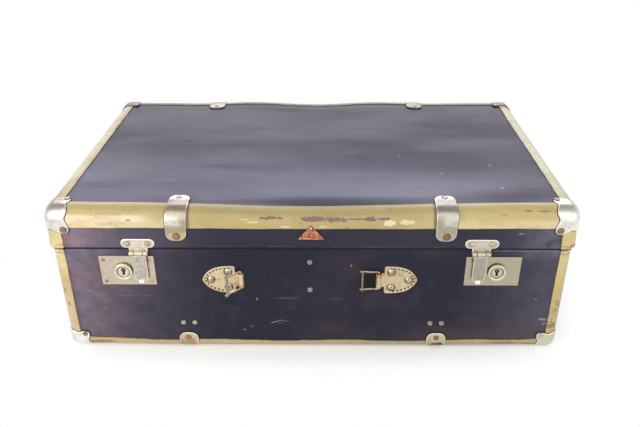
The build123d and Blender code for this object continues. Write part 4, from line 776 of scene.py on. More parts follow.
def plated(kind, body, shape, seats, rim, node):
    """Pieces of nickelled steel, and a dark sheet round them for painted shadow and dirt: the same shapes, thinner and
    larger by a rim.
    """
    fit_tracked(f"{body}_{kind}s", [shape(*seat) for seat in seats], nickel, body, "nickel_trim", node)
    dirt = [shape(*seat, thickness=grime_thickness, grow=rim) for seat in seats]
    fit_tracked(f"{body}_{kind}_grime", dirt, grime_and_shade, body, "rivet_brown")


clamp_drop, clamp_over = 23 * mm, 25 * mm
base_clamp_seats = [
    (base_form, (sx * clamp_out, sy * y_end, z_low), (0, 0, 1), (0, -sy, 0), clamp_drop, clamp_over)
    for sx, sy in four_corners
]
plated("clamp", "base", clamp, base_clamp_seats, clamp_rim, "base_edge_clamps")


# Base corner caps: one over each bottom corner, pressed from nickelled steel with a round lobe on each of its three
# faces, and riveted through the bindings.
cap_thickness = 1.2 * mm


def cap(form, corner, into, reach, lobes, thickness=cap_thickness, grow=0.0):
    """A patch round a corner: an angle goes through its three faces in turn, and a radius goes from the corner to
    the outline, which is the reach plus a lobe in the middle of each face: a square with soft corners, its two
    sides as given for each face, faded out by a flat bell curve of the angle."""
    around, rings, lobe_half, rim, sunk = 145, 30, math.radians(16.5), 1.2 * mm, 0.05 * mm
    turn = np.linspace(0, 3, around)[:-1]
    face = np.floor(turn + 1e-9).astype(int) % 3
    angle = (turn - np.floor(turn + 1e-9)) * np.pi / 2
    one_side, other_side = np.array(lobes)[face].T
    square = ((np.cos(angle) / one_side) ** 9 + (np.sin(angle) / other_side) ** 9) ** (-1 / 9)
    from_tip = np.abs(angle - np.arctan2(other_side, one_side)) / lobe_half
    outline = reach + (square - reach) * np.exp(-(from_tip**4)) + grow
    share = np.sin(np.linspace(0, np.pi / 2, rings))[1:, None]
    radius = share * outline
    axes = np.array(into)
    one, other = axes[face], axes[(face + 1) % 3]
    flat = radius[..., None] * (np.cos(angle)[:, None] * one + np.sin(angle)[:, None] * other)
    sharp_points = np.asarray(corner) + flat
    level = turned_down(outline - radius, thickness, rim)
    border = np.concatenate([outline - radius, (outline - radius)[::-1]])
    track = np.concatenate([np.stack([0 * border, 0 * border, border], axis=-1).reshape(-1, 3), [(0, 0, reach)] * 2])
    return skinned(np.concatenate([form(sharp_points, level), form(sharp_points, 0 * level - sunk)[::-1]])), track


cap_reach = 25 * mm
base_lobes = np.array([(25.8, 24.8), (24.8, 25.8), (25.0, 25.0)]) * mm
base_cap_seats = [
    (base_form, (sx * x_end, sy * y_end, z_low), ((-sx, 0, 0), (0, 0, 1), (0, -sy, 0)), cap_reach, base_lobes)
    for sx, sy in four_corners
]
plated("cap", "base", cap, base_cap_seats, cap_rim, "base_corner_caps")


# Flat rivets through the base's caps and clamps: small steel heads, hammered a little out of square, whose plating
# has gone and which have rusted to orange brown.
rust = Finish("rusted_rivet", Metallic=0.35)
crust = rust.at.noise(330, 4.0, 0.65)
rust.colour = crust.between(0.3, 0.7).mix((0.2, 0.1, 0.05), (0.38, 0.23, 0.13))
rust.coat(rust.zone(side=(170, 155)) * 0.9, rust.by_side((0.32, 0.18, 0.09), (0.21, 0.13, 0.045)))
rust.coat(rust.at.plus(0.2, 0.2, 0.2).noise(500, 3.0).between(0.58, 0.68) * 0.7, (0.14, 0.07, 0.04))
kept_plating = rust.zone(x=(240, 260), z=(50, 40))
rust.coat(kept_plating * 0.8, (0.5, 0.47, 0.38))
rust.set(Base_Color=rust.colour, Roughness=crust * 0.3 + 0.4)
rust.relief(crust, 0.25 * mm)


def stand(form, sharp_points, facing, level):
    """Where pieces stand on a face: their places at a level, and the face's own direction there, from the cross
    product of two short steps over it."""
    facing = np.asarray(facing, float)
    step_one = np.roll(np.abs(facing), 1) * 0.5 * mm
    step_two = np.roll(np.abs(facing), 2) * 0.5 * mm
    there = np.asarray(sharp_points, float)
    flat = np.full(len(there), level)
    one = form(there + step_one, flat) - form(there - step_one, flat)
    two = form(there + step_two, flat) - form(there - step_two, flat)
    out = np.cross(one, two)
    out = out / np.linalg.norm(out, axis=-1, keepdims=True)
    return form(there, flat), out * np.sign((out * facing).sum(axis=-1, keepdims=True))


def heads(places, outs, profile, around=28, lean=0.0, seed=0):
    """Rivet heads: a profile of (radius, height) turned about the face's direction at each place, leaned a little
    at random."""
    draw = np.random.default_rng(seed)
    profile = np.asarray(profile)
    angle = np.linspace(0, 2 * np.pi, around + 1)[:-1]
    made = []
    for place, out in zip(places, outs):
        out = out + lean * draw.normal(size=3)
        out = out / np.linalg.norm(out)
        one = np.cross(out, (0.3, 0.2, 0.93) if abs(out[2]) < 0.8 else (1, 0, 0))
        one = one / np.linalg.norm(one)
        two = np.cross(out, one)
        circle = np.cos(angle)[:, None] * one + np.sin(angle)[:, None] * two
        made.append(skinned(place + profile[:, :1, None] * circle + profile[:, 1:, None] * out))
    return made


flat_head = np.array([(0.4, 0.72), (2.6, 0.8), (3.6, 0.74), (4.05, 0.5), (4.25, 0.1), (4.25, -0.3), (0.4, -0.3)]) * mm


def gather(seats):
    """Several groups of seats as one: all their places, and all their directions."""
    return [np.concatenate(parts) for parts in zip(*seats)]


def cap_seats(form, x, y, z, reach_x, reach_y):
    """Seats of the cap rivets on the walls: x and y along them, z up, for the corners at reach_x and reach_y."""
    seats = [stand(form, [(sx * x, sy * reach_y, z)], (0, sy, 0), cap_thickness) for sx, sy in four_corners]
    seats += [stand(form, [(sx * reach_x, sy * y, z)], (sx, 0, 0), cap_thickness) for sx, sy in four_corners]
    return gather(seats)


from_end = 20.5 * mm
seats = cap_seats(base_form, x_end - from_end, y_end - from_end, z_low + 21 * mm, x_end, y_end)
made = heads(*seats, flat_head * (0.78, 1), lean=0.03, seed=3)
fit("base_cap_rivet_heads", made, rust, "base", "rivet_brown", "base_cap_rivets")
seats = gather(
    stand(base_form, [(sx * clamp_out, sy * y_end, z_low + 16.5 * mm)], (0, sy, 0), clamp_thickness)
    for sx, sy in four_corners
)
made = heads(*seats, flat_head * (0.85, 1), lean=0.03, seed=5)
fit("base_clamp_rivet_heads", made, rust, "base", "rivet_brown", "base_clamp_rivets")


# Lid panels: five sheets like the base's. The front edge has sunk between the clamps, the back edge sags a little
# between its own, and the top has swollen and dipped.
lid_low = np.array([-case_end, case_front, -1.0])
lid_high = np.array([case_end, -case_front, case_top])
lid_bend = np.array([13.0, 15.0, 17.0]) * mm
panel_face, panel_back, lining_back = -1.2 * mm, -2.8 * mm, -3.6 * mm


def settle(points):
    """Points of the lid let down: a bell curve of x along the front edge that fades down the wall and back over
    the top, two waves along the back edge, and low swellings of the top from products of sines. The end walls
    lean out towards their lower edge."""
    x, y, z = points[..., 0], points[..., 1], points[..., 2]
    above_seam, edge_round, border = 10 * mm, 8 * mm, 0.06
    sag, sag_reach, short_fade, long_fade = 6.9 * mm, 140 * mm, 19 * mm, 60 * mm
    wave, wave_half, wave_reach, inside_caps = 1.8 * mm, 98 * mm, 185 * mm, 0.28
    flare, flare_start, flare_width = 1.8 * mm, 0.262, 0.035
    swelling, sunk = 0.5 * mm, 0.7 * mm
    rise = np.clip((z - seam - above_seam) / (case_top - seam - above_seam), 0, 1) ** 2.2
    from_front, from_back = y - case_front, -case_front - y
    front = sag * np.exp(-(np.abs(x / sag_reach) ** 1.9))
    inward = np.clip(from_front - edge_round, 0, None)
    front = front * (0.62 * np.exp(-((inward / short_fade) ** 2)) + 0.38 * np.exp(-((inward / long_fade) ** 1.5)))
    back = wave * np.cos(x / wave_half * np.pi) * np.exp(-((x / wave_reach) ** 6)) + 0.3 * mm
    back = -back * np.exp(-((np.clip(from_back - 6 * mm, 0, None) / long_fade) ** 1.5)) * (np.abs(x) < inside_caps)
    swell = np.sin(17 * x + 1.1) * np.sin(23 * y + 0.4)
    swell = swell + 0.7 * np.sin(31 * x + 14 * y + 2.0) + 0.5 * np.sin(11 * x - 43 * y + 0.7)
    inside = np.clip((case_end - np.abs(x)) / border, 0, 1) * np.clip(np.minimum(from_front, from_back) / border, 0, 1)
    moved = points.copy()
    low_down = np.clip((case_top - edge_round - z) / (case_top - edge_round - seam), 0, 1) ** 2.5
    moved[..., 0] += np.sign(x) * flare * np.clip((np.abs(x) - flare_start) / flare_width, 0, 1) ** 2 * low_down
    moved[..., 2] += rise * (back - front + inside * (swelling * swell - sunk))
    return moved


def lid_form(points, level):
    """The lid's form: sharp points rounded, at a level above the bindings' outer face, then let down by use."""
    return settle(rounded(points, level, lid_low, lid_high, lid_bend))


def lid_slabs(outer, inner):
    """The top and the four walls between two levels, each a grid that ends on the sharp edges."""
    x = spread(-case_end, case_end, 20 * mm, 11, 6 * mm)
    y = spread(case_front, -case_front, 20 * mm, 11, 6 * mm)
    z = np.concatenate([np.linspace(seam, case_top - 20 * mm, 9)[:-1], np.linspace(case_top - 20 * mm, case_top, 14)])
    slabs = {}
    for name, one, other, fixed in (
        ("top", x, y, 2), ("front", x, z, 1), ("back", x, z, 1), ("left", y, z, 0), ("right", y, z, 0),
    ):
        a, b = np.meshgrid(one, other, indexing="ij")
        far = {"top": case_top, "front": case_front, "back": -case_front, "left": -case_end, "right": case_end}[name]
        flat = {2: (a, b, 0 * a + far), 1: (a, 0 * a + far, b), 0: (0 * a + far, a, b)}[fixed]
        sharp_points = np.stack(flat, axis=-1)
        slabs[name] = sheet(lid_form(sharp_points, outer + 0 * a), lid_form(sharp_points, inner + 0 * a))
    return slabs


for name, slab in lid_slabs(panel_face, panel_back).items():
    fit(f"lid_{name}_sheet", [slab], navy, "lid", "fibre_navy", f"lid_{name}_panel")


# Inside the lid: the same paper as in the base, pasted to the top and the walls. It ends just short of where the
# base's rim stands when the lid is shut.
fit("lid_paper", list(lid_slabs(panel_back, lining_back).values()), paper, "lid", "lining_paper", "lid_lining")


# Lid bindings: strips of the same khaki fibre, broader than the base's, folded over the four top edges and down
# the corners. They have sunk with the sheet under them.
front_width, side_width = 23.8 * mm, 19 * mm
end_widths, long_widths = (side_width, side_width), (front_width, side_width)
top_strips = edge_strips(lid_form, case_end, -case_front, case_top, -1, end_widths, long_widths, 21)
fit_tracked("lid_edge_strips", top_strips, khaki, "lid", "fibre_khaki", "lid_edge_bindings")
corner_strips = upright_strips(
    lid_form, case_end, -case_front, (seam, case_top - side_width), side_width, 31, 2 * mm
)
fit_tracked("lid_corner_strips", corner_strips, khaki, "lid", "fibre_khaki", "lid_corner_bindings")


# Lid clamps, corner caps and their rivets: bent and pressed from nickelled steel as the base's are, only larger.
# The left front clamp leans a little.
clamp_slants = (0.036, 0, 0, 0)
clamp_drop, clamp_over, clamp_bulge = 40 * mm, 35.5 * mm, 0.5 * mm
lid_clamp_seats = [
    (
        lid_form, (sx * clamp_out, -sy * case_front, case_top), (0, 0, -1), (0, -sy, 0), clamp_drop, clamp_over,
        clamp_bulge, slant,
    )
    for (sx, sy), slant in zip(four_corners, clamp_slants)
]
plated("clamp", "lid", clamp, lid_clamp_seats, clamp_rim, "lid_edge_clamps")
cap_reach = 27.6 * mm
lid_lobes = np.array([(28.8, 31.9), (31.9, 28.8), (28.4, 28.4)]) * mm
lid_cap_seats = [
    (
        lid_form, (sx * case_end, -sy * case_front, case_top), ((-sx, 0, 0), (0, 0, -1), (0, -sy, 0)), cap_reach,
        lid_lobes,
    )
    for sx, sy in four_corners
]
plated("cap", "lid", cap, lid_cap_seats, cap_rim, "lid_corner_caps")
from_end = 22.3 * mm
places, outs = cap_seats(
    lid_form, case_end - from_end, -case_front - from_end, case_top - 25.9 * mm, case_end, -case_front
)
made = heads(places, outs, flat_head * (0.93, 0.75), lean=0.03, seed=7)
fit("lid_cap_rivet_heads", made, rust, "lid", "rivet_brown", "lid_cap_rivets")
# a dark ring round each rivet, shifted towards the case's middle: painted shadow, with dirt
ring = np.array([(4.0, 0.12), (4.75, 0.1), (4.85, -0.2), (4.0, -0.2)]) * mm
made = heads(places + np.sign(places[:, :1]) * (-0.25 * mm, 0, 0), outs, ring * (0.89, 1))
fit("lid_cap_rivet_grime", made, grime_and_shade, "lid", "rivet_brown")
below = 33.8 * mm
places, outs = gather(
    stand(lid_form, [(sx * clamp_out - below * slant, -sy * case_front, case_top - below)], (0, sy, 0), clamp_thickness)
    for (sx, sy), slant in zip(four_corners, clamp_slants)
)
made = heads(places, outs, flat_head, lean=0.03, seed=9)
fit("lid_clamp_rivet_heads", made, rust, "lid", "rivet_brown", "lid_clamp_rivets")
# a dark ring round each, shifted a little right and up: painted shadow, with dirt
made = heads(places + (0.45 * mm, 0, 0.1 * mm), outs, ring * (0.97, 1))
fit("lid_clamp_rivet_grime", made, grime_and_shade, "lid", "rivet_brown")
# the rivets on the top have kept more of their plating, with dirt round them
dulled = Finish("dulled_rivet", Metallic=0.9)
film = dulled.at.noise(300, 4.0, 0.65)
dulled.set(
    Base_Color=film.between(0.35, 0.65).mix((0.5, 0.46, 0.39), (0.26, 0.19, 0.14)), Roughness=film * 0.3 + 0.3
)
dulled.relief(film, 0.2 * mm)
on_caps = (case_end - 23.8 * mm, -case_front - 23.8 * mm, cap_thickness)
on_clamps = (clamp_out, -case_front - 30.5 * mm, clamp_thickness)
seats = gather(
    stand(lid_form, [(sx * x, sy * y, case_top)], (0, 0, 1), level)
    for x, y, level in (on_caps, on_clamps)
    for sx, sy in four_corners
)
made = heads(*seats, flat_head * (0.78, 1.1), lean=0.04, seed=10)
fit("lid_top_rivet_heads", made, dulled, "lid", "rivet_nickel")
fit("lid_top_rivet_grime", heads(*seats, ring * (0.78, 1)), grime_and_shade, "lid", "rivet_brown")


# Front rivets: small domed steel rivets through the base's front, the two in the middle and the pair at the right
# gone brown, and the steel plates that they hold inside.
steel = Finish("grey_steel", Metallic=1.0)
film = steel.at.noise(120, 4.0, 0.6)
steel.colour = film.between(0.3, 0.7).mix((0.5, 0.49, 0.46), (0.34, 0.32, 0.29))
steel.coat(steel.at.noise(300, 4.0, 0.7).between(0.56, 0.68) * 0.7, (0.2, 0.11, 0.06))
steel.set(Base_Color=steel.colour, Roughness=film * 0.4 + 0.25)
steel.relief(film, 0.2 * mm)
give(steel, "strap_anchors", "front_wall_rivets")

fittings_middle = -2.2 * mm
dull_head = Finish("dull_rivet")
film = dull_head.at.noise(420, 4.0, 0.65)
dull_head.colour = dull_head.zone(x=(-100, -20)).mix((0.56, 0.52, 0.44), (0.27, 0.18, 0.11))
dull_head.coat(dull_head.zone(x=(20, 100)), (0.34, 0.17, 0.12))
dull_head.coat(film.between(0.5, 0.7) * 0.7, (0.2, 0.12, 0.08))
plating_left = dull_head.zone(x=(-20, -100)) * 0.45 + 0.4
dull_head.set(Base_Color=dull_head.colour, Roughness=film * 0.3 + 0.42, Metallic=plating_left)
dull_head.relief(film, 0.15 * mm)
small_dome = np.array(
    [(0.3, 1.32), (1.1, 1.22), (1.9, 0.92), (2.5, 0.46), (2.75, 0.05), (2.75, -0.3), (0.3, -0.3)]
) * mm
pair_out, pair_half, pair_height = 148.7 * mm, 6.85 * mm, 38.3 * mm
front_places = [(fittings_middle, height) for height in (124.4 * mm, 86.4 * mm)]
front_places += [(side * pair_out + offset, pair_height) for side in (-1, 1) for offset in (-pair_half, pair_half)]
places, outs = stand(base_form, [(x, base_low[1], z) for x, z in front_places], (0, -1, 0), panel_face)
fit("front_rivet_heads", heads(places, outs, small_dome, lean=0.05, seed=11), dull_head, "base", "rivet_nickel")


# Locks: a nickelled plate nailed at its corners, and a round boss that slides sideways with the bolt behind it.
# The left plate has gone beige and the right one grey green.
def fitting_finish(name, left_tone, right_tone, stain_tone, rough, rim=0.0):
    """Worn plating whose tone differs between the left and the right fittings, with a painted highlight along the rim
    and a painted shade line inside it, of some strength.
    """
    made = Finish(name, Metallic=1.0)
    film = made.at.noise(150, 4.0, 0.6)
    made.colour = made.by_side(left_tone, right_tone)
    made.coat(film.between(0.4, 0.75) * 0.45, stain_tone)
    made.coat(made.at.plus(0.1, 0.4, 0.2).noise(420, 4.0, 0.7).between(0.62, 0.7) * 0.5, (0.16, 0.1, 0.06))
    if rim:
        inset = made.track().part(1)
        # the rim's painted shade line, then its painted highlight
        made.coat(inset.near(1.9, 0.6, 0.2) * 0.4 * rim, (0.3, 0.25, 0.17))
        made.coat(inset.past(1.5, 0.9) * (film * 0.6 + 0.5) * rim, (0.98, 0.95, 0.9))
    made.set(Base_Color=made.colour, Roughness=film * 0.3 + rough)
    made.relief(film + made.at.times(1, 1, 0.1).noise(900, 2.0) * 0.5, 0.12 * mm)
    return made


plate_metal = fitting_finish("lock_plating", (0.68, 0.58, 0.47), (0.47, 0.43, 0.32), (0.42, 0.35, 0.26), 0.28)
give(plate_metal, "left_lock_plate", "right_lock_plate", "left_lock_case", "right_lock_case")
give(steel, "left_lock_spring", "right_lock_spring")
base_wall = base_low[1]


def arc(centre, radius, start, stop, count):
    """Points on a circle from one angle to another, in degrees."""
    angle = np.radians(np.linspace(start, stop, count))
    return np.stack([centre[0] + radius * np.cos(angle), centre[1] + radius * np.sin(angle)], axis=-1)


def rounded_rectangle(middle, width, height, radius):
    """Outline of a rectangle with round corners, as a function of how far it is moved inwards."""

    def outline(inset):
        half = np.array([width / 2, height / 2]) - radius
        signs = ((1, 1), (-1, 1), (-1, -1), (1, -1))
        bend = max(radius - inset, 0.05 * mm)
        reach = half + radius - inset - bend
        return np.concatenate(
            [arc(np.array(middle) + reach * sign, bend, 90 * k, 90 * k + 90, 7) for k, sign in enumerate(signs)]
        )

    return outline


def raised(outline, steps, wall):
    """A plate on a front wall: its outline at each step's inset, lifted to the step's level. Its track holds the
    run along the outline, the inset and the level."""
    steps = np.asarray(steps)
    flat = np.stack([outline(inset) for inset in steps[:, 0]])
    full = np.ones(flat.shape[:2])
    loops = np.stack([flat[..., 0], wall - steps[:, 1:] * full, flat[..., 1]], axis=-1)
    run = np.concatenate([[0], np.cumsum(np.linalg.norm(np.diff(flat[0], axis=0), axis=-1))])
    track = np.stack([run * full, steps[:, :1] * full, steps[:, 1:] * full], axis=-1).reshape(-1, 3)
    ends = [(0, inset + 5 * mm, level) for inset, level in steps[[0, -1]]]
    return skinned(loops), np.concatenate([track, ends])


def hoop(outline, wall, level, radius):
    """A bead along an outline: a small circle carried round it."""
    path = outline(0.0)
    ahead = np.roll(path, -1, axis=0) - np.roll(path, 1, axis=0)
    ahead = ahead / np.linalg.norm(ahead, axis=-1, keepdims=True)
    beside = np.stack([ahead[:, 1], -ahead[:, 0]], axis=-1)
    angle = np.linspace(0, 2 * np.pi, 9)[:-1]
    flat = path[:, None] + radius * np.cos(angle)[:, None] * beside[:, None]
    deep = wall - level - radius * np.sin(angle) * np.ones((len(path), 1))
    points = np.stack([flat[..., 0], deep, flat[..., 1]], axis=-1)
    number = np.arange(points.shape[0] * 8).reshape(-1, 8)
    beyond = np.roll(number, -1, axis=0)
    faces = np.stack([number, beyond, np.roll(beyond, -1, axis=1), np.roll(number, -1, axis=1)], axis=-1)
    return outwards(points.reshape(-1, 3), faces.reshape(-1, 4))


two_sides = (("left", -1), ("right", 1))
lock_out, lock_height = 210.4 * mm, 113 * mm
lock_middles = [(sign * lock_out + fittings_middle, lock_height) for _, sign in two_sides]
plate_wide, plate_tall, plate_corner = 62.6 * mm, 38.1 * mm, 0.8 * mm
bead_level, bead_radius = -0.5 * mm, 0.35 * mm
plate_outlines = [rounded_rectangle(middle, plate_wide, plate_tall, plate_corner) for middle in lock_middles]
beads = [hoop(outline, base_wall, bead_level, bead_radius) for outline in plate_outlines]
fit("lock_plate_edges", beads, plate_metal, "base", "lock_nickel")

brassy = Finish("nail_brass", Metallic=1.0)
film = brassy.at.noise(520, 3.0)
# the nails at the left plate's outer end are redder than the rest
the_rest = brassy.zone(x=(-235, -225))
brassy.colour = the_rest.mix((0.5, 0.27, 0.21), (0.58, 0.48, 0.26))
brassy.coat(film.between(0.42, 0.6) * 0.6, the_rest.mix((0.3, 0.13, 0.07), (0.42, 0.32, 0.15)))
brassy.set(Base_Color=brassy.colour, Roughness=film * 0.3 + 0.25)
brassy.relief(film, 0.15 * mm)
nail_dome = np.array(
    [(0.2, 1.05), (1.0, 0.95), (1.75, 0.65), (2.25, 0.25), (2.35, 0.0), (2.35, -0.2), (0.2, -0.2)]
) * mm
nail_across, nail_up = 26.6 * mm, 14.35 * mm
nail_places = [(x + dx * nail_across, z + dz * nail_up) for x, z in lock_middles for dx in (-1, 1) for dz in (-1, 1)]
places, outs = stand(base_form, [(x, base_wall, z) for x, z in nail_places], (0, -1, 0), -0.2 * mm)
fit("lock_nail_heads", heads(places, outs, nail_dome, 20, 0.08, 13), brassy, "base", "nail_brass")
give(brassy, "lock_nails")

# the key pin is coppery on its end and black down its shaft, and the lock slides are dark: painted shade in the keyhole
pin_metal = Finish("key_pin", Metallic=0.7, Roughness=0.4)
on_end = pin_metal.at.part(1).between(base_wall - 1.6 * mm, base_wall - 1.75 * mm)
coppery = on_end * (pin_metal.at.noise(600, 2.0) * 0.3 + 0.8)
pin_metal.set(Base_Color=coppery.mix((0.01, 0.008, 0.006), (0.62, 0.3, 0.13)))
give(grime_and_shade, "left_lock_slide", "right_lock_slide")


def boss(middle):
    """A turned boss: rings of a profile about its axis; beyond the dished face they follow the keyhole, which is
    a circle and a slot below it, and go down into it."""
    angle = np.linspace(0, 2 * np.pi, 65)[:-1]
    up_down, sideways = np.sin(angle), np.abs(np.cos(angle)) + 1e-9
    hole_up, hole_radius, slot_half, slot_down = 1.9, 2.6, 1.3, 5.0
    hole = hole_up * up_down + np.sqrt(hole_radius**2 - (hole_up * np.cos(angle)) ** 2)
    slot = np.where(up_down < 0, np.minimum(slot_half / sideways, slot_down / np.maximum(-up_down, 1e-9)), 0)
    keyhole = np.maximum(hole, slot)
    profile = [(10.0, 0.0), (10.4, 0.25), (10.45, 3.5), (10.2, 4.2), (9.7, 4.55), (9.0, 4.65), (8.4, 4.5), (7.9, 4.1)]
    profile += [(7.65, 3.65), (7.2, 3.42), (6.75, 3.4), (6.4, 3.1), (6.3, 2.3)]
    radius = np.array([np.full(64, r) for r, _ in profile] + [keyhole + 0.25, keyhole, keyhole - 0.02, keyhole - 0.05])
    level = np.array([h for _, h in profile] + [2.3, 2.1, 0.5, -1.4])
    x, z = middle[0] + radius * np.cos(angle) * mm, middle[1] + radius * up_down * mm
    loops = np.stack([x, base_wall + (0.2 - level[:, None]) * mm + 0 * radius, z], axis=-1)
    track = np.stack([radius * mm, level[:, None] * mm + 0 * radius, 0 * radius], axis=-1).reshape(-1, 3)
    return skinned(loops), np.concatenate([track, [(10 * mm, 0, 0), (0, -1.4 * mm, 0)]])


boss_face = Finish("boss_face", Metallic=1.0)
from_axis, depth = boss_face.track().part(0), boss_face.track().part(1)
film = boss_face.at.noise(260, 4.0, 0.6)
boss_face.colour = boss_face.by_side((0.88, 0.81, 0.66), (0.74, 0.7, 0.52))
boss_face.coat(film.between(0.5, 0.75) * 0.5, (0.42, 0.35, 0.22))
boss_face.coat(from_axis.past(6.6, 6.0) * 0.7, boss_face.by_side((0.8, 0.69, 0.56), (0.64, 0.48, 0.37)))
# painted shade in the ring round the recess, and painted black down the keyhole
boss_face.coat(from_axis.near(7.2, 1.0, 0.4) * 0.85, (0.24, 0.18, 0.11))
boss_face.coat(depth.past(1.9, 1.3), (0.012, 0.008, 0.006))
boss_face.set(Base_Color=boss_face.colour, Roughness=film * 0.3 + 0.24, Metallic=depth.past(1.2, 1.8))
boss_face.relief(film, 0.1 * mm)
boss_out = 214.9 * mm
straight_out = np.array([0, -1.0, 0])
pin = np.array([(0.05, 0.3), (0.65, 0.25), (0.9, 0.0), (0.9, -3.2), (0.05, -3.2)]) * mm
for side, sign in two_sides:
    middle = (sign * boss_out + fittings_middle, lock_height)
    made, track = boss(middle)
    fit(f"{side}_boss", [made], boss_face, f"{side}_slide", "lock_nickel", tracks=[track])
    pin_place = np.array([middle[0], base_wall - 1.7 * mm, middle[1] + 1.9 * mm])
    key_pin = heads([pin_place], [straight_out], pin, 14)
    fit(f"{side}_key_pin", key_pin, pin_metal, f"{side}_slide", "lock_nickel")


# Hasps: an anchor plate riveted to the lid, whose knuckles hold a pin, and a dished leaf that hangs over the lock
# plate and has a small bent tab to lift it by.
hasp_out, hasp_axis = 194.2 * mm, 138.2 * mm
anchor_metal = fitting_finish("anchor_plating", (0.86, 0.78, 0.66), (0.62, 0.6, 0.5), (0.58, 0.5, 0.37), 0.32, 0.8)
lid_wall = lid_low[1]


def anchor_outline(middle):
    """Outline of the anchor: a slot shape with a stem below it, joined by small hollow corners."""
    bends = (
        (13.5, 0, 5.7, -90, 90, 17), (-13.5, 0, 5.7, 90, 270, 17), (-12.1, -7.2, 1.5, 90, 0, 6),
        (-10.1, -11.4, 0.5, 180, 270, 4), (10.1, -11.4, 0.5, 270, 360, 4), (12.1, -7.2, 1.5, 180, 90, 6),
    )
    flat = np.concatenate([arc((middle[0] + x * mm, middle[1] + z * mm), r * mm, *turn) for x, z, r, *turn in bends])

    def outline(inset):
        ahead = np.roll(flat, -1, axis=0) - np.roll(flat, 1, axis=0)
        ahead = ahead / (np.linalg.norm(ahead, axis=-1, keepdims=True) + 1e-12)
        return flat + inset * np.stack([-ahead[:, 1], ahead[:, 0]], axis=-1)

    return outline


def barrel(x_range, y, z, radius):
    """A knuckle: circles about the pin's line, the first and the last drawn in a little."""
    reach = np.array([0, 0, 0.3 * mm, -0.3 * mm, 0, 0])
    x = np.array([x_range[0]] * 3 + [x_range[1]] * 3) + reach
    r = radius - np.array([0.6, 0.25, 0, 0, 0.25, 0.6]) * mm
    angle = np.linspace(0, 2 * np.pi, 25)[:-1]
    circle = r[:, None]
    return skinned(np.stack([x[:, None] + 0 * angle, y + circle * np.cos(angle), z + circle * np.sin(angle)], axis=-1))


def hasp_leaf_outline(middle):
    """Outline of the leaf: a tall rectangle with its lower corners cut off, every corner slightly round."""
    x, z = middle

    def outline(inset):
        half, top, low, cut = 7.95 * mm - inset, 17.6 * mm - inset, -17.6 * mm + inset, 4.2 * mm - 0.4 * inset
        upper = [(half, top), (-half, top)]
        lower = [(-half, low + cut), (-half + cut, low), (half - cut, low), (half, low + cut)]
        turns = ((0, 90), (90, 180), (180, 225), (225, 270), (270, 315), (315, 360))
        bend = max(1.1 * mm - 0.3 * inset, 0.1 * mm)
        pulled = np.array([(-1, -1), (1, -1), (1, 0.4), (0.4, 1), (-0.4, 1), (-1, 0.4)]) * bend
        centres = np.array(upper + lower) + pulled
        bends = [arc(centre, bend, *turn, 5) for centre, turn in zip(centres, turns)]
        return np.array([x, z]) + np.concatenate(bends)

    return outline


knuckle_metal = fitting_finish("knuckle_plating", (0.76, 0.69, 0.55), (0.6, 0.57, 0.46), (0.44, 0.36, 0.25), 0.34)
leaf_metal = Finish("leaf_plating", Metallic=1.0)
inset, level = leaf_metal.track().part(1), leaf_metal.track().part(2)
film = leaf_metal.at.noise(170, 4.0, 0.62)
leaf_metal.colour = leaf_metal.by_side((0.64, 0.58, 0.51), (0.42, 0.39, 0.32))
leaf_metal.coat(film.between(0.4, 0.7) * 0.6, (0.36, 0.33, 0.28))
scored = leaf_metal.at.node("ShaderNodeVectorRotate", {"rotation_type": "Y_AXIS"}, Vector=leaf_metal.at, Angle=0.6)
scores = scored.times(0.12, 1, 1).noise(700, 2.0, 0.5).between(0.6, 0.66)
leaf_metal.coat(scores * 0.6, (0.72, 0.68, 0.6))
leaf_metal.coat(leaf_metal.at.times(1, 1, 0.1).noise(640, 2.0).between(0.6, 0.66) * 0.5, (0.16, 0.13, 0.1))
# a painted highlight along the leaf's border, and painted shade on its side walls
leaf_metal.coat(inset.past(1.7, 0.9) * 0.7, (0.74, 0.69, 0.58))
leaf_metal.coat(level.past(3.0, 2.2) * 0.85, (0.12, 0.095, 0.07))
leaf_metal.set(Base_Color=leaf_metal.colour, Roughness=film * 0.3 + 0.28)
leaf_metal.relief(film * 0.5 + scores * 0.5, 0.1 * mm)
tab_metal = Finish("bright_tab", Metallic=1.0)
tab_tone = tab_metal.at.noise(500, 3.0).between(0.3, 0.7).mix((0.88, 0.84, 0.74), (0.74, 0.68, 0.55))
tab_metal.set(Base_Color=tab_tone, Roughness=tab_metal.at.noise(300, 3.0) * 0.3 + 0.15)
anchor_height, leaf_height, pin_depth = 150.4 * mm, 117.1 * mm, -184.4 * mm
knuckle_reaches = np.array([(-10.6, -5.5), (5.5, 10.6)]) * mm
knuckle_radius, leaf_knuckle_half, leaf_knuckle_radius = 2.62 * mm, 4.6 * mm, 2.68 * mm
anchor_steps = np.array([(0, -1.25), (0, -0.6), (0.25, -0.2), (0.7, 0.05), (1.2, 0.12)]) * mm
leaf_steps = [
    (0, 0.15), (0, 2.3), (0.15, 2.8), (0.5, 3.2), (1.1, 3.4), (1.5, 3.42), (2.2, 3.42), (4.0, 3.42), (6.5, 3.42)
]
leaf_steps = np.array(leaf_steps) * mm
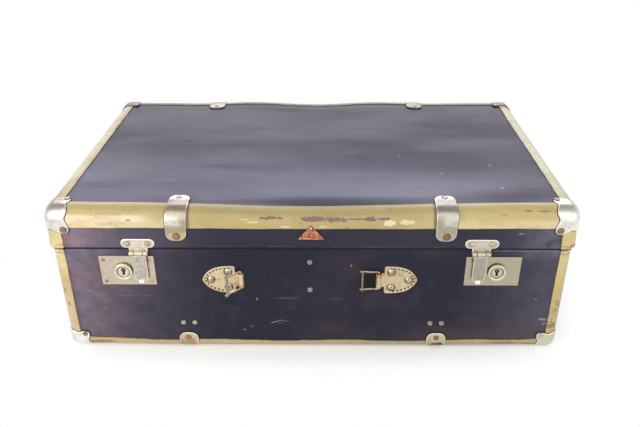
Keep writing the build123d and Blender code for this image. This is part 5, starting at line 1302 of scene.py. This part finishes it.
for side, sign in two_sides:
    x = sign * hasp_out + fittings_middle
    plate, track = raised(anchor_outline((x, anchor_height)), anchor_steps, lid_wall)
    knuckles = [barrel(x + reach, pin_depth, hasp_axis, knuckle_radius) for reach in knuckle_reaches]
    fit(f"{side}_anchor_face", [plate], anchor_metal, "lid", "lock_nickel", f"{side}_hasp_anchor", tracks=[track])
    fit(f"{side}_anchor_knuckles", knuckles, knuckle_metal, "lid", "lock_nickel")
    # the pin, seen between the knuckles, is dark as painted shade
    give(grime_and_shade, f"{side}_hasp_pin")
    give(knuckle_metal, f"{side}_hasp_leaf")
    face, track = raised(hasp_leaf_outline((x, leaf_height)), leaf_steps, base_wall)
    fit(f"{side}_leaf_face", [face], leaf_metal, f"{side}_hasp", "lock_nickel", tracks=[track])
    leaf_reach = (x - leaf_knuckle_half, x + leaf_knuckle_half)
    middle_knuckle = barrel(leaf_reach, pin_depth, hasp_axis, leaf_knuckle_radius)
    fit(f"{side}_leaf_knuckle", [middle_knuckle], knuckle_metal, f"{side}_hasp", "lock_nickel")
    down = np.linspace(0, 1, 9)[:, None]
    u = np.linspace(-1, 1, 9)[None, :]
    wide = 3.1 * mm * (1 - 0.25 * down**3)
    deep, height = base_wall - (3.3 + 2.0 * down**1.6) * mm + 0 * u, (103.6 - 3.7 * down) * mm + 0 * u
    tab = np.stack([x - 0.6 * mm + u * wide, deep, height], axis=-1)
    back = tab + np.array([0, 0.8, 0.35]) * mm
    fit(f"{side}_leaf_tab", [sheet(tab, back)], tab_metal, f"{side}_hasp", "lock_nickel")
hasp_head = np.array([(0.3, 1.45), (1.2, 1.35), (2.2, 1.0), (2.9, 0.5), (3.2, 0.1), (3.2, -0.2), (0.3, -0.2)]) * mm
rivet_off = 11 * mm
rivet_places = [
    (sign * hasp_out + fittings_middle + off, lid_wall, anchor_height)
    for sign in (-1, 1)
    for off in (-rivet_off, rivet_off)
]
places, outs = stand(lid_form, rivet_places, (0, -1, 0), 0.0)
golden = Finish("golden_rivet", Metallic=1.0)
film = golden.at.noise(420, 3.0)
golden.colour = golden.by_side((0.58, 0.51, 0.34), (0.76, 0.6, 0.42))
golden.coat(film.between(0.45, 0.65) * 0.5, (0.36, 0.25, 0.13))
golden.set(Base_Color=golden.colour, Roughness=film * 0.3 + 0.24)
fit("hasp_rivet_heads", heads(places, outs, hasp_head * (0.86, 1), 24, 0.05, 17), golden, "lid", "rivet_nickel")
# a thin dark ring round each rivet: painted shade of its dimple, with dirt
fit("hasp_rivet_grime", heads(places, outs, ring * (0.69, 1.6)), grime_and_shade, "lid", "rivet_brown")
give(golden, "hasp_rivets")


# Handle plates: pressed steel in the shape of a pointed arch, with a raised rim, a row of dimples like stitches and
# a tongue rolled round the loop's eye. Three domed rivets hold each. Their rims have rusted.
pressed = Finish("pressed_plate", Metallic=0.9)
run, inset = pressed.track().part(0), pressed.track().part(1)
film = pressed.at.noise(180, 4.0, 0.62)
pressed.colour = film.between(0.3, 0.7).mix((0.68, 0.56, 0.37), (0.56, 0.46, 0.28))
pressed.coat(pressed.zone(x=(20, -20)) * 0.5, (0.86, 0.7, 0.42))
pressed.coat(pressed.at.plus(0.3, 0.3, 0.6).noise(90, 5.0, 0.7).between(0.52, 0.68) * 0.6, (0.38, 0.22, 0.12))
rusty = pressed.mark((-108, -184, 87), (22, 9, 8), 0, 0.3, 0.4) + pressed.mark((118, -184, 100), (7, 9, 9), 0, 0.3, 0.4)
# a painted highlight along the raised rim, with rust over it in places
rim = inset.past(1.5, 0.5)
pressed.coat(rim * (film * 0.5 + 0.3), (0.84, 0.75, 0.56))
pressed.coat(rim * (rusty + film.between(0.55, 0.7) * 0.5) * 0.9, (0.5, 0.2, 0.07))
for place, reach in (((-84, -184, 93.5), (4.5, 6, 3)), ((80, -184, 108), (5, 6, 3)), ((-86.5, -182, 84), (5, 6, 2.5))):
    pressed.coat(pressed.mark(place, reach, 0, 0.4) * 0.7, (0.55, 0.21, 0.05))
stitch_length = 5.5 * mm
dimple = abs((run * (1 / stitch_length)).maths("FRACT") - 0.5).between(0.3, 0.2) * inset.near(2.9, 1.2, 0.8)
dimple = dimple * run.past(34, 36) * run.past(118, 116)
pressed.coat(dimple * 0.9, (0.06, 0.035, 0.018))
pressed.set(Base_Color=pressed.colour, Roughness=film * 0.3 + 0.3)
pressed.relief(film * 0.4 - dimple, 0.3 * mm)
plate_middle = 101.0 * mm


def arch(sign):
    """Outline of the pointed arch by its inset: a flat end, then two sides whose height falls as (1 - t^3.4)^0.75
    towards the tip; the inset pulls every point straight towards the middle."""

    def outline(inset):
        end, tip, half = 86.5 * mm, 124.8 * mm, 18.3 * mm
        t = 1 - (1 - np.linspace(0, 1, 40)) ** 2.2
        upper = np.stack([end + t * (tip - end), half * (1 - t**3.4) ** 0.75], axis=-1)
        bend = 2.4 * mm
        upper = upper[upper[:, 0] > end + bend + 0.2 * mm]
        corner = arc((end + bend, half - bend), bend, 180, 90, 7)
        flat_end = np.linspace(-1, 1, 13)[1:-1, None] * np.array([0, half - bend]) + np.array([end, 0])
        lower = upper[:-1][::-1] * (1, -1)
        out = np.concatenate([flat_end, corner, upper, lower, corner[::-1] * (1, -1)])
        middle = np.array([104.5 * mm, 0])
        off = out - middle
        out = middle + off * (1 - inset / np.linalg.norm(off, axis=-1, keepdims=True))
        return np.stack([fittings_middle + sign * out[:, 0], plate_middle + out[:, 1]], axis=-1)

    return outline


arch_steps = [(0, -1.2), (0, 0.3), (0.25, 0.6), (0.7, 0.72), (1.3, 0.7), (1.7, 0.5)]
arch_steps = np.array(arch_steps + [(2.0, 0.15), (2.4, 0.02), (2.9, 0), (3.5, 0), (5, 0.02), (9, 0.05)]) * mm
eye_out, eye_deep, eye_radius, tongue_half = 80, 1.7, 2.95, 9.4
for side, sign in two_sides:
    plate, track = raised(arch(sign), arch_steps, base_wall)
    turn = np.radians(np.linspace(-60, 270, 34))[::-1] + np.pi
    strap_end = np.array([(88.5, -0.02), (87.0, 0.08), (85.5, 0.2), (84.2, 0.1)])
    eye = np.stack([eye_out + eye_radius * np.sin(turn) * -1, eye_deep + eye_radius * np.cos(turn) * -1], axis=-1)
    outer = np.concatenate([strap_end, eye])
    out, deep = outer[:, :1], outer[:, 1:]
    span = np.linspace(-1, 1, 15)[None, :]
    x, y = fittings_middle + sign * out * mm + 0 * span, base_wall - deep * mm + 0 * span
    tongue = np.stack([x, y, plate_middle + span * tongue_half * mm + 0 * out], axis=-1)
    ahead = np.gradient(tongue, axis=0)
    beside = np.cross(ahead, (0, 0, sign * 1.0))
    beside = beside / np.linalg.norm(beside, axis=-1, keepdims=True)
    solid = sheet(tongue, tongue + beside * 1.0 * mm)
    # on the track the tongue lies away from the rim and from the dimples
    own = np.tile((1.0 * mm, 5 * mm, 0), (len(solid[0]), 1))
    node = f"{side}_handle_plate"
    fit(f"{side}_arch_plate", [plate, solid], pressed, "base", "handle_nickel", node, tracks=[track, own])
shiny = Finish("shiny_dome", Metallic=1.0)
film = shiny.at.noise(240, 3.0, 0.6)
shiny_tone = (film.between(0.44, 0.6) * 0.85).mix((0.56, 0.5, 0.38), (0.22, 0.165, 0.1))
shiny.set(Base_Color=shiny_tone, Roughness=film * 0.25 + 0.14)
angle = np.radians(np.linspace(4, 78, 9))
last = angle[-1]
dome_radius = 4.35
rise = 2.5 * (np.cos(angle) - np.cos(last)) / (1 - np.cos(last))
curve = np.stack([dome_radius * np.sin(angle) / np.sin(last), rise], axis=-1)
big_dome = np.concatenate([curve, [(dome_radius, -0.3), (0.3, -0.3)]]) * mm
dome_places = [
    (fittings_middle + sign * out * mm, base_wall, plate_middle + rise * mm)
    for sign in (-1, 1)
    for out, rise in ((114.8, 0), (94.6, 10.4), (94.6, -10.4))
]
places, outs = stand(base_form, dome_places, (0, -1, 0), 0.0)
fit("handle_dome_heads", heads(places, outs, big_dome, 32, 0.04, 19), shiny, "base", "rivet_nickel")
# a dark ring round each dome: painted shadow, with dirt
fit("handle_dome_grime", heads(places, outs, ring * (1.03, 1) + (0.2 * mm, 0)), grime_and_shade, "base", "rivet_brown")
give(shiny, "handle_rivets")


# Handle loops: a bar bent into three sides of a rectangle, whose middle lies in the plate's eye, and a pin across its
# ends, all rusted. The right one lies towards the middle, and the left one has been folded back over its plate. The
# handle itself has gone.
loop_rust = Finish("loop_rust", Metallic=0.85)
crust = loop_rust.at.noise(300, 4.0, 0.65)
loop_rust.colour = crust.between(0.35, 0.65).mix((0.36, 0.19, 0.11), (0.64, 0.5, 0.36))
loop_rust.coat(loop_rust.zone(x=(-50, -70)) * 0.8, (0.66, 0.57, 0.46))
loop_rust.coat(loop_rust.at.noise(140, 3.0).between(0.52, 0.62) * 0.5, (0.78, 0.72, 0.6))
# painted shade on the bars' undersides
loop_rust.coat(loop_rust.track().part(2).between(0.3, -0.3) * 0.9, (0.09, 0.045, 0.02))
loop_rust.set(Base_Color=loop_rust.colour, Roughness=crust * 0.35 + 0.25)
loop_rust.relief(crust, 0.2 * mm)


def rod(path, radii, side_way):
    """A bar: circles of the given radii carried along a path; side_way is a direction square to the whole path."""
    path = np.asarray(path, float)
    ahead = np.gradient(path, axis=0)
    ahead = ahead / np.linalg.norm(ahead, axis=-1, keepdims=True)
    one = np.cross(ahead, side_way)
    one = one / np.linalg.norm(one, axis=-1, keepdims=True)
    two = np.cross(ahead, one)
    angle = np.linspace(0, 2 * np.pi, 15)[:-1]
    radii = np.asarray(radii)[:, None, None]
    return path[:, None] + radii * (np.cos(angle)[:, None] * one[:, None] + np.sin(angle)[:, None] * two[:, None])


def loop_bars():
    """The bent bar and the pin, with the eye's axis at the origin: out is x, up is z, and away from the case is y
    negative. The bar's corners are arcs, its ends overshoot the pin, and the pin has a knob at each end."""
    arm = np.linspace(-22.6, -2.6, 24)
    upper = np.stack([arm, 11.9 + 0.35 * np.sin(arm * 0.25)], axis=-1)
    round_one = arc((-2.6, 9.3), 2.6, 80, 10, 7)
    lower_half = np.concatenate([round_one[::-1], upper[::-1]]) * (1, -1)
    flat = np.concatenate([upper, round_one, [(0, 5), (0, 0), (0, -5)], lower_half])
    flat[np.abs(flat[:, 1]) < 8.5, 0] = 0
    bar = np.stack([flat[:, 0], 0 * flat[:, 0], flat[:, 1]], axis=-1) * mm
    share = np.linspace(-1, 1, len(bar))
    made = [rod(bar, 1.2 * mm * np.sqrt(np.clip(1 - np.abs(share) ** 60, 0.1, 1)), (0, 1, 0))]
    pin = np.linspace(-1, 1, 41)
    knob = 0.6 * np.exp(-(((np.abs(pin) - 0.93) / 0.06) ** 2))
    swell = 1.35 + knob + 0.2 * np.exp(-(((np.abs(pin) - 0.76) / 0.05) ** 2))
    swell = swell * np.sqrt(np.clip(1 - np.abs(pin) ** 40, 0.1, 1))
    made.append(rod(np.stack([-19 + 0 * pin, 0 * pin, pin * 15.0], axis=-1) * mm, swell * mm, (1, 0, 0)))
    return made


for side, sign, fold in (("left", -1, 140.0), ("right", 1, 0.0)):
    lean = math.radians(fold)
    bars, tracks = [], []
    for loops in loop_bars():
        x, y, z = loops[..., 0], loops[..., 1], loops[..., 2]
        # folding turns the loop about the eye, away from the case
        x, y = x * math.cos(lean) + y * math.sin(lean), x * math.sin(lean) + y * math.cos(lean)
        # its track is the direction out of the bar, whose last part is -1 underneath
        turned = np.stack([x, y, z], axis=-1)
        out = turned - turned.mean(axis=1, keepdims=True)
        out = out / np.linalg.norm(out, axis=-1, keepdims=True)
        tracks.append(np.concatenate([out.reshape(-1, 3), np.zeros((2, 3))]))
        x, y = fittings_middle + sign * (eye_out * mm + x), base_wall - eye_deep * mm + y
        bars.append(skinned(np.stack([x, y, plate_middle + 0.3 * mm + z], axis=-1)))
    nodes = (f"{side}_handle_loop", f"{side}_cross_pin")
    fit(f"{side}_loop_bars", bars, loop_rust, f"{side}_loop", "loop_steel", *nodes, tracks=tracks)


# Badge: a small three-cornered plate of enamelled tin with a raised edge, nailed to the lid's front at its upper
# corner. The enamel has worn and darkened.
enamel = Finish("badge_enamel", Roughness=0.34)
inset, film = enamel.track().part(1), enamel.at.noise(240, 4.0, 0.65)
enamel.colour = film.between(0.42, 0.6).mix((0.4, 0.035, 0.018), (0.42, 0.14, 0.045))
enamel.coat(enamel.at.plus(0.2, 0.2, 0.1).noise(420, 3.0, 0.7).between(0.54, 0.62) * 0.8, (0.66, 0.5, 0.2))
enamel.coat(enamel.at.plus(0.7, 0.2, 0.1).noise(300, 3.0, 0.7).between(0.52, 0.62) * 0.75, (0.12, 0.06, 0.03))
enamel.coat(inset.near(1.0, 0.6, 0.3) * film.between(0.4, 0.6) * 0.8, (0.5, 0.42, 0.16))
enamel.coat(inset.past(0.7, 0.3) * 0.9, (0.1, 0.07, 0.04))
enamel.coat(enamel.zone(z=(168, 172.5)) * 0.6, (0.12, 0.06, 0.03))
enamel.set(Base_Color=enamel.colour)
enamel.relief(film, 0.15 * mm)


def triangle(inset):
    """Outline of the badge by its inset: three corners drawn towards the middle, rounded by short arcs."""
    corners = np.array([(15.5, 156.4), (-16.1, 156.4), (-0.4, 175.0)]) * mm
    middle = np.array([-0.5, 162.6]) * mm
    pulled = middle + (corners - middle) * (1 - (inset + 0.7 * mm) / (6.5 * mm))
    turns = ((-90, 40), (140, 270), (40, 140))
    return np.concatenate([arc(pulled[k], 0.7 * mm, *turns[k], 7) for k in (0, 2, 1)])


badge_steps = [(0, -0.1), (0, 0.4), (0.15, 0.62), (0.6, 0.7), (1.5, 0.7), (1.9, 0.55), (3, 0.55), (5, 0.6)]
plate, track = raised(triangle, np.array(badge_steps) * mm, lid_wall)
fit("badge_plate", [plate], enamel, "lid", "badge_red", "badge", tracks=[track])
nail_place = np.array([-0.5 * mm, lid_wall - 0.6 * mm, 170.9 * mm])
pale_nail = heads([nail_place], [straight_out], nail_dome * 0.5, 18)
fit("badge_nail_head", pale_nail, tab_metal, "lid", "nail_brass", "badge_nail")


# Hinges at the back: two loose-pin hinges of plain steel. One leaf of each is riveted to the lid and the other to
# the base, with the pin through both.
give(steel, "hinge_lid_leaves", "hinge_base_leaves", "hinge_pins")
give(dull_head, "hinge_lid_rivets", "hinge_base_rivets")
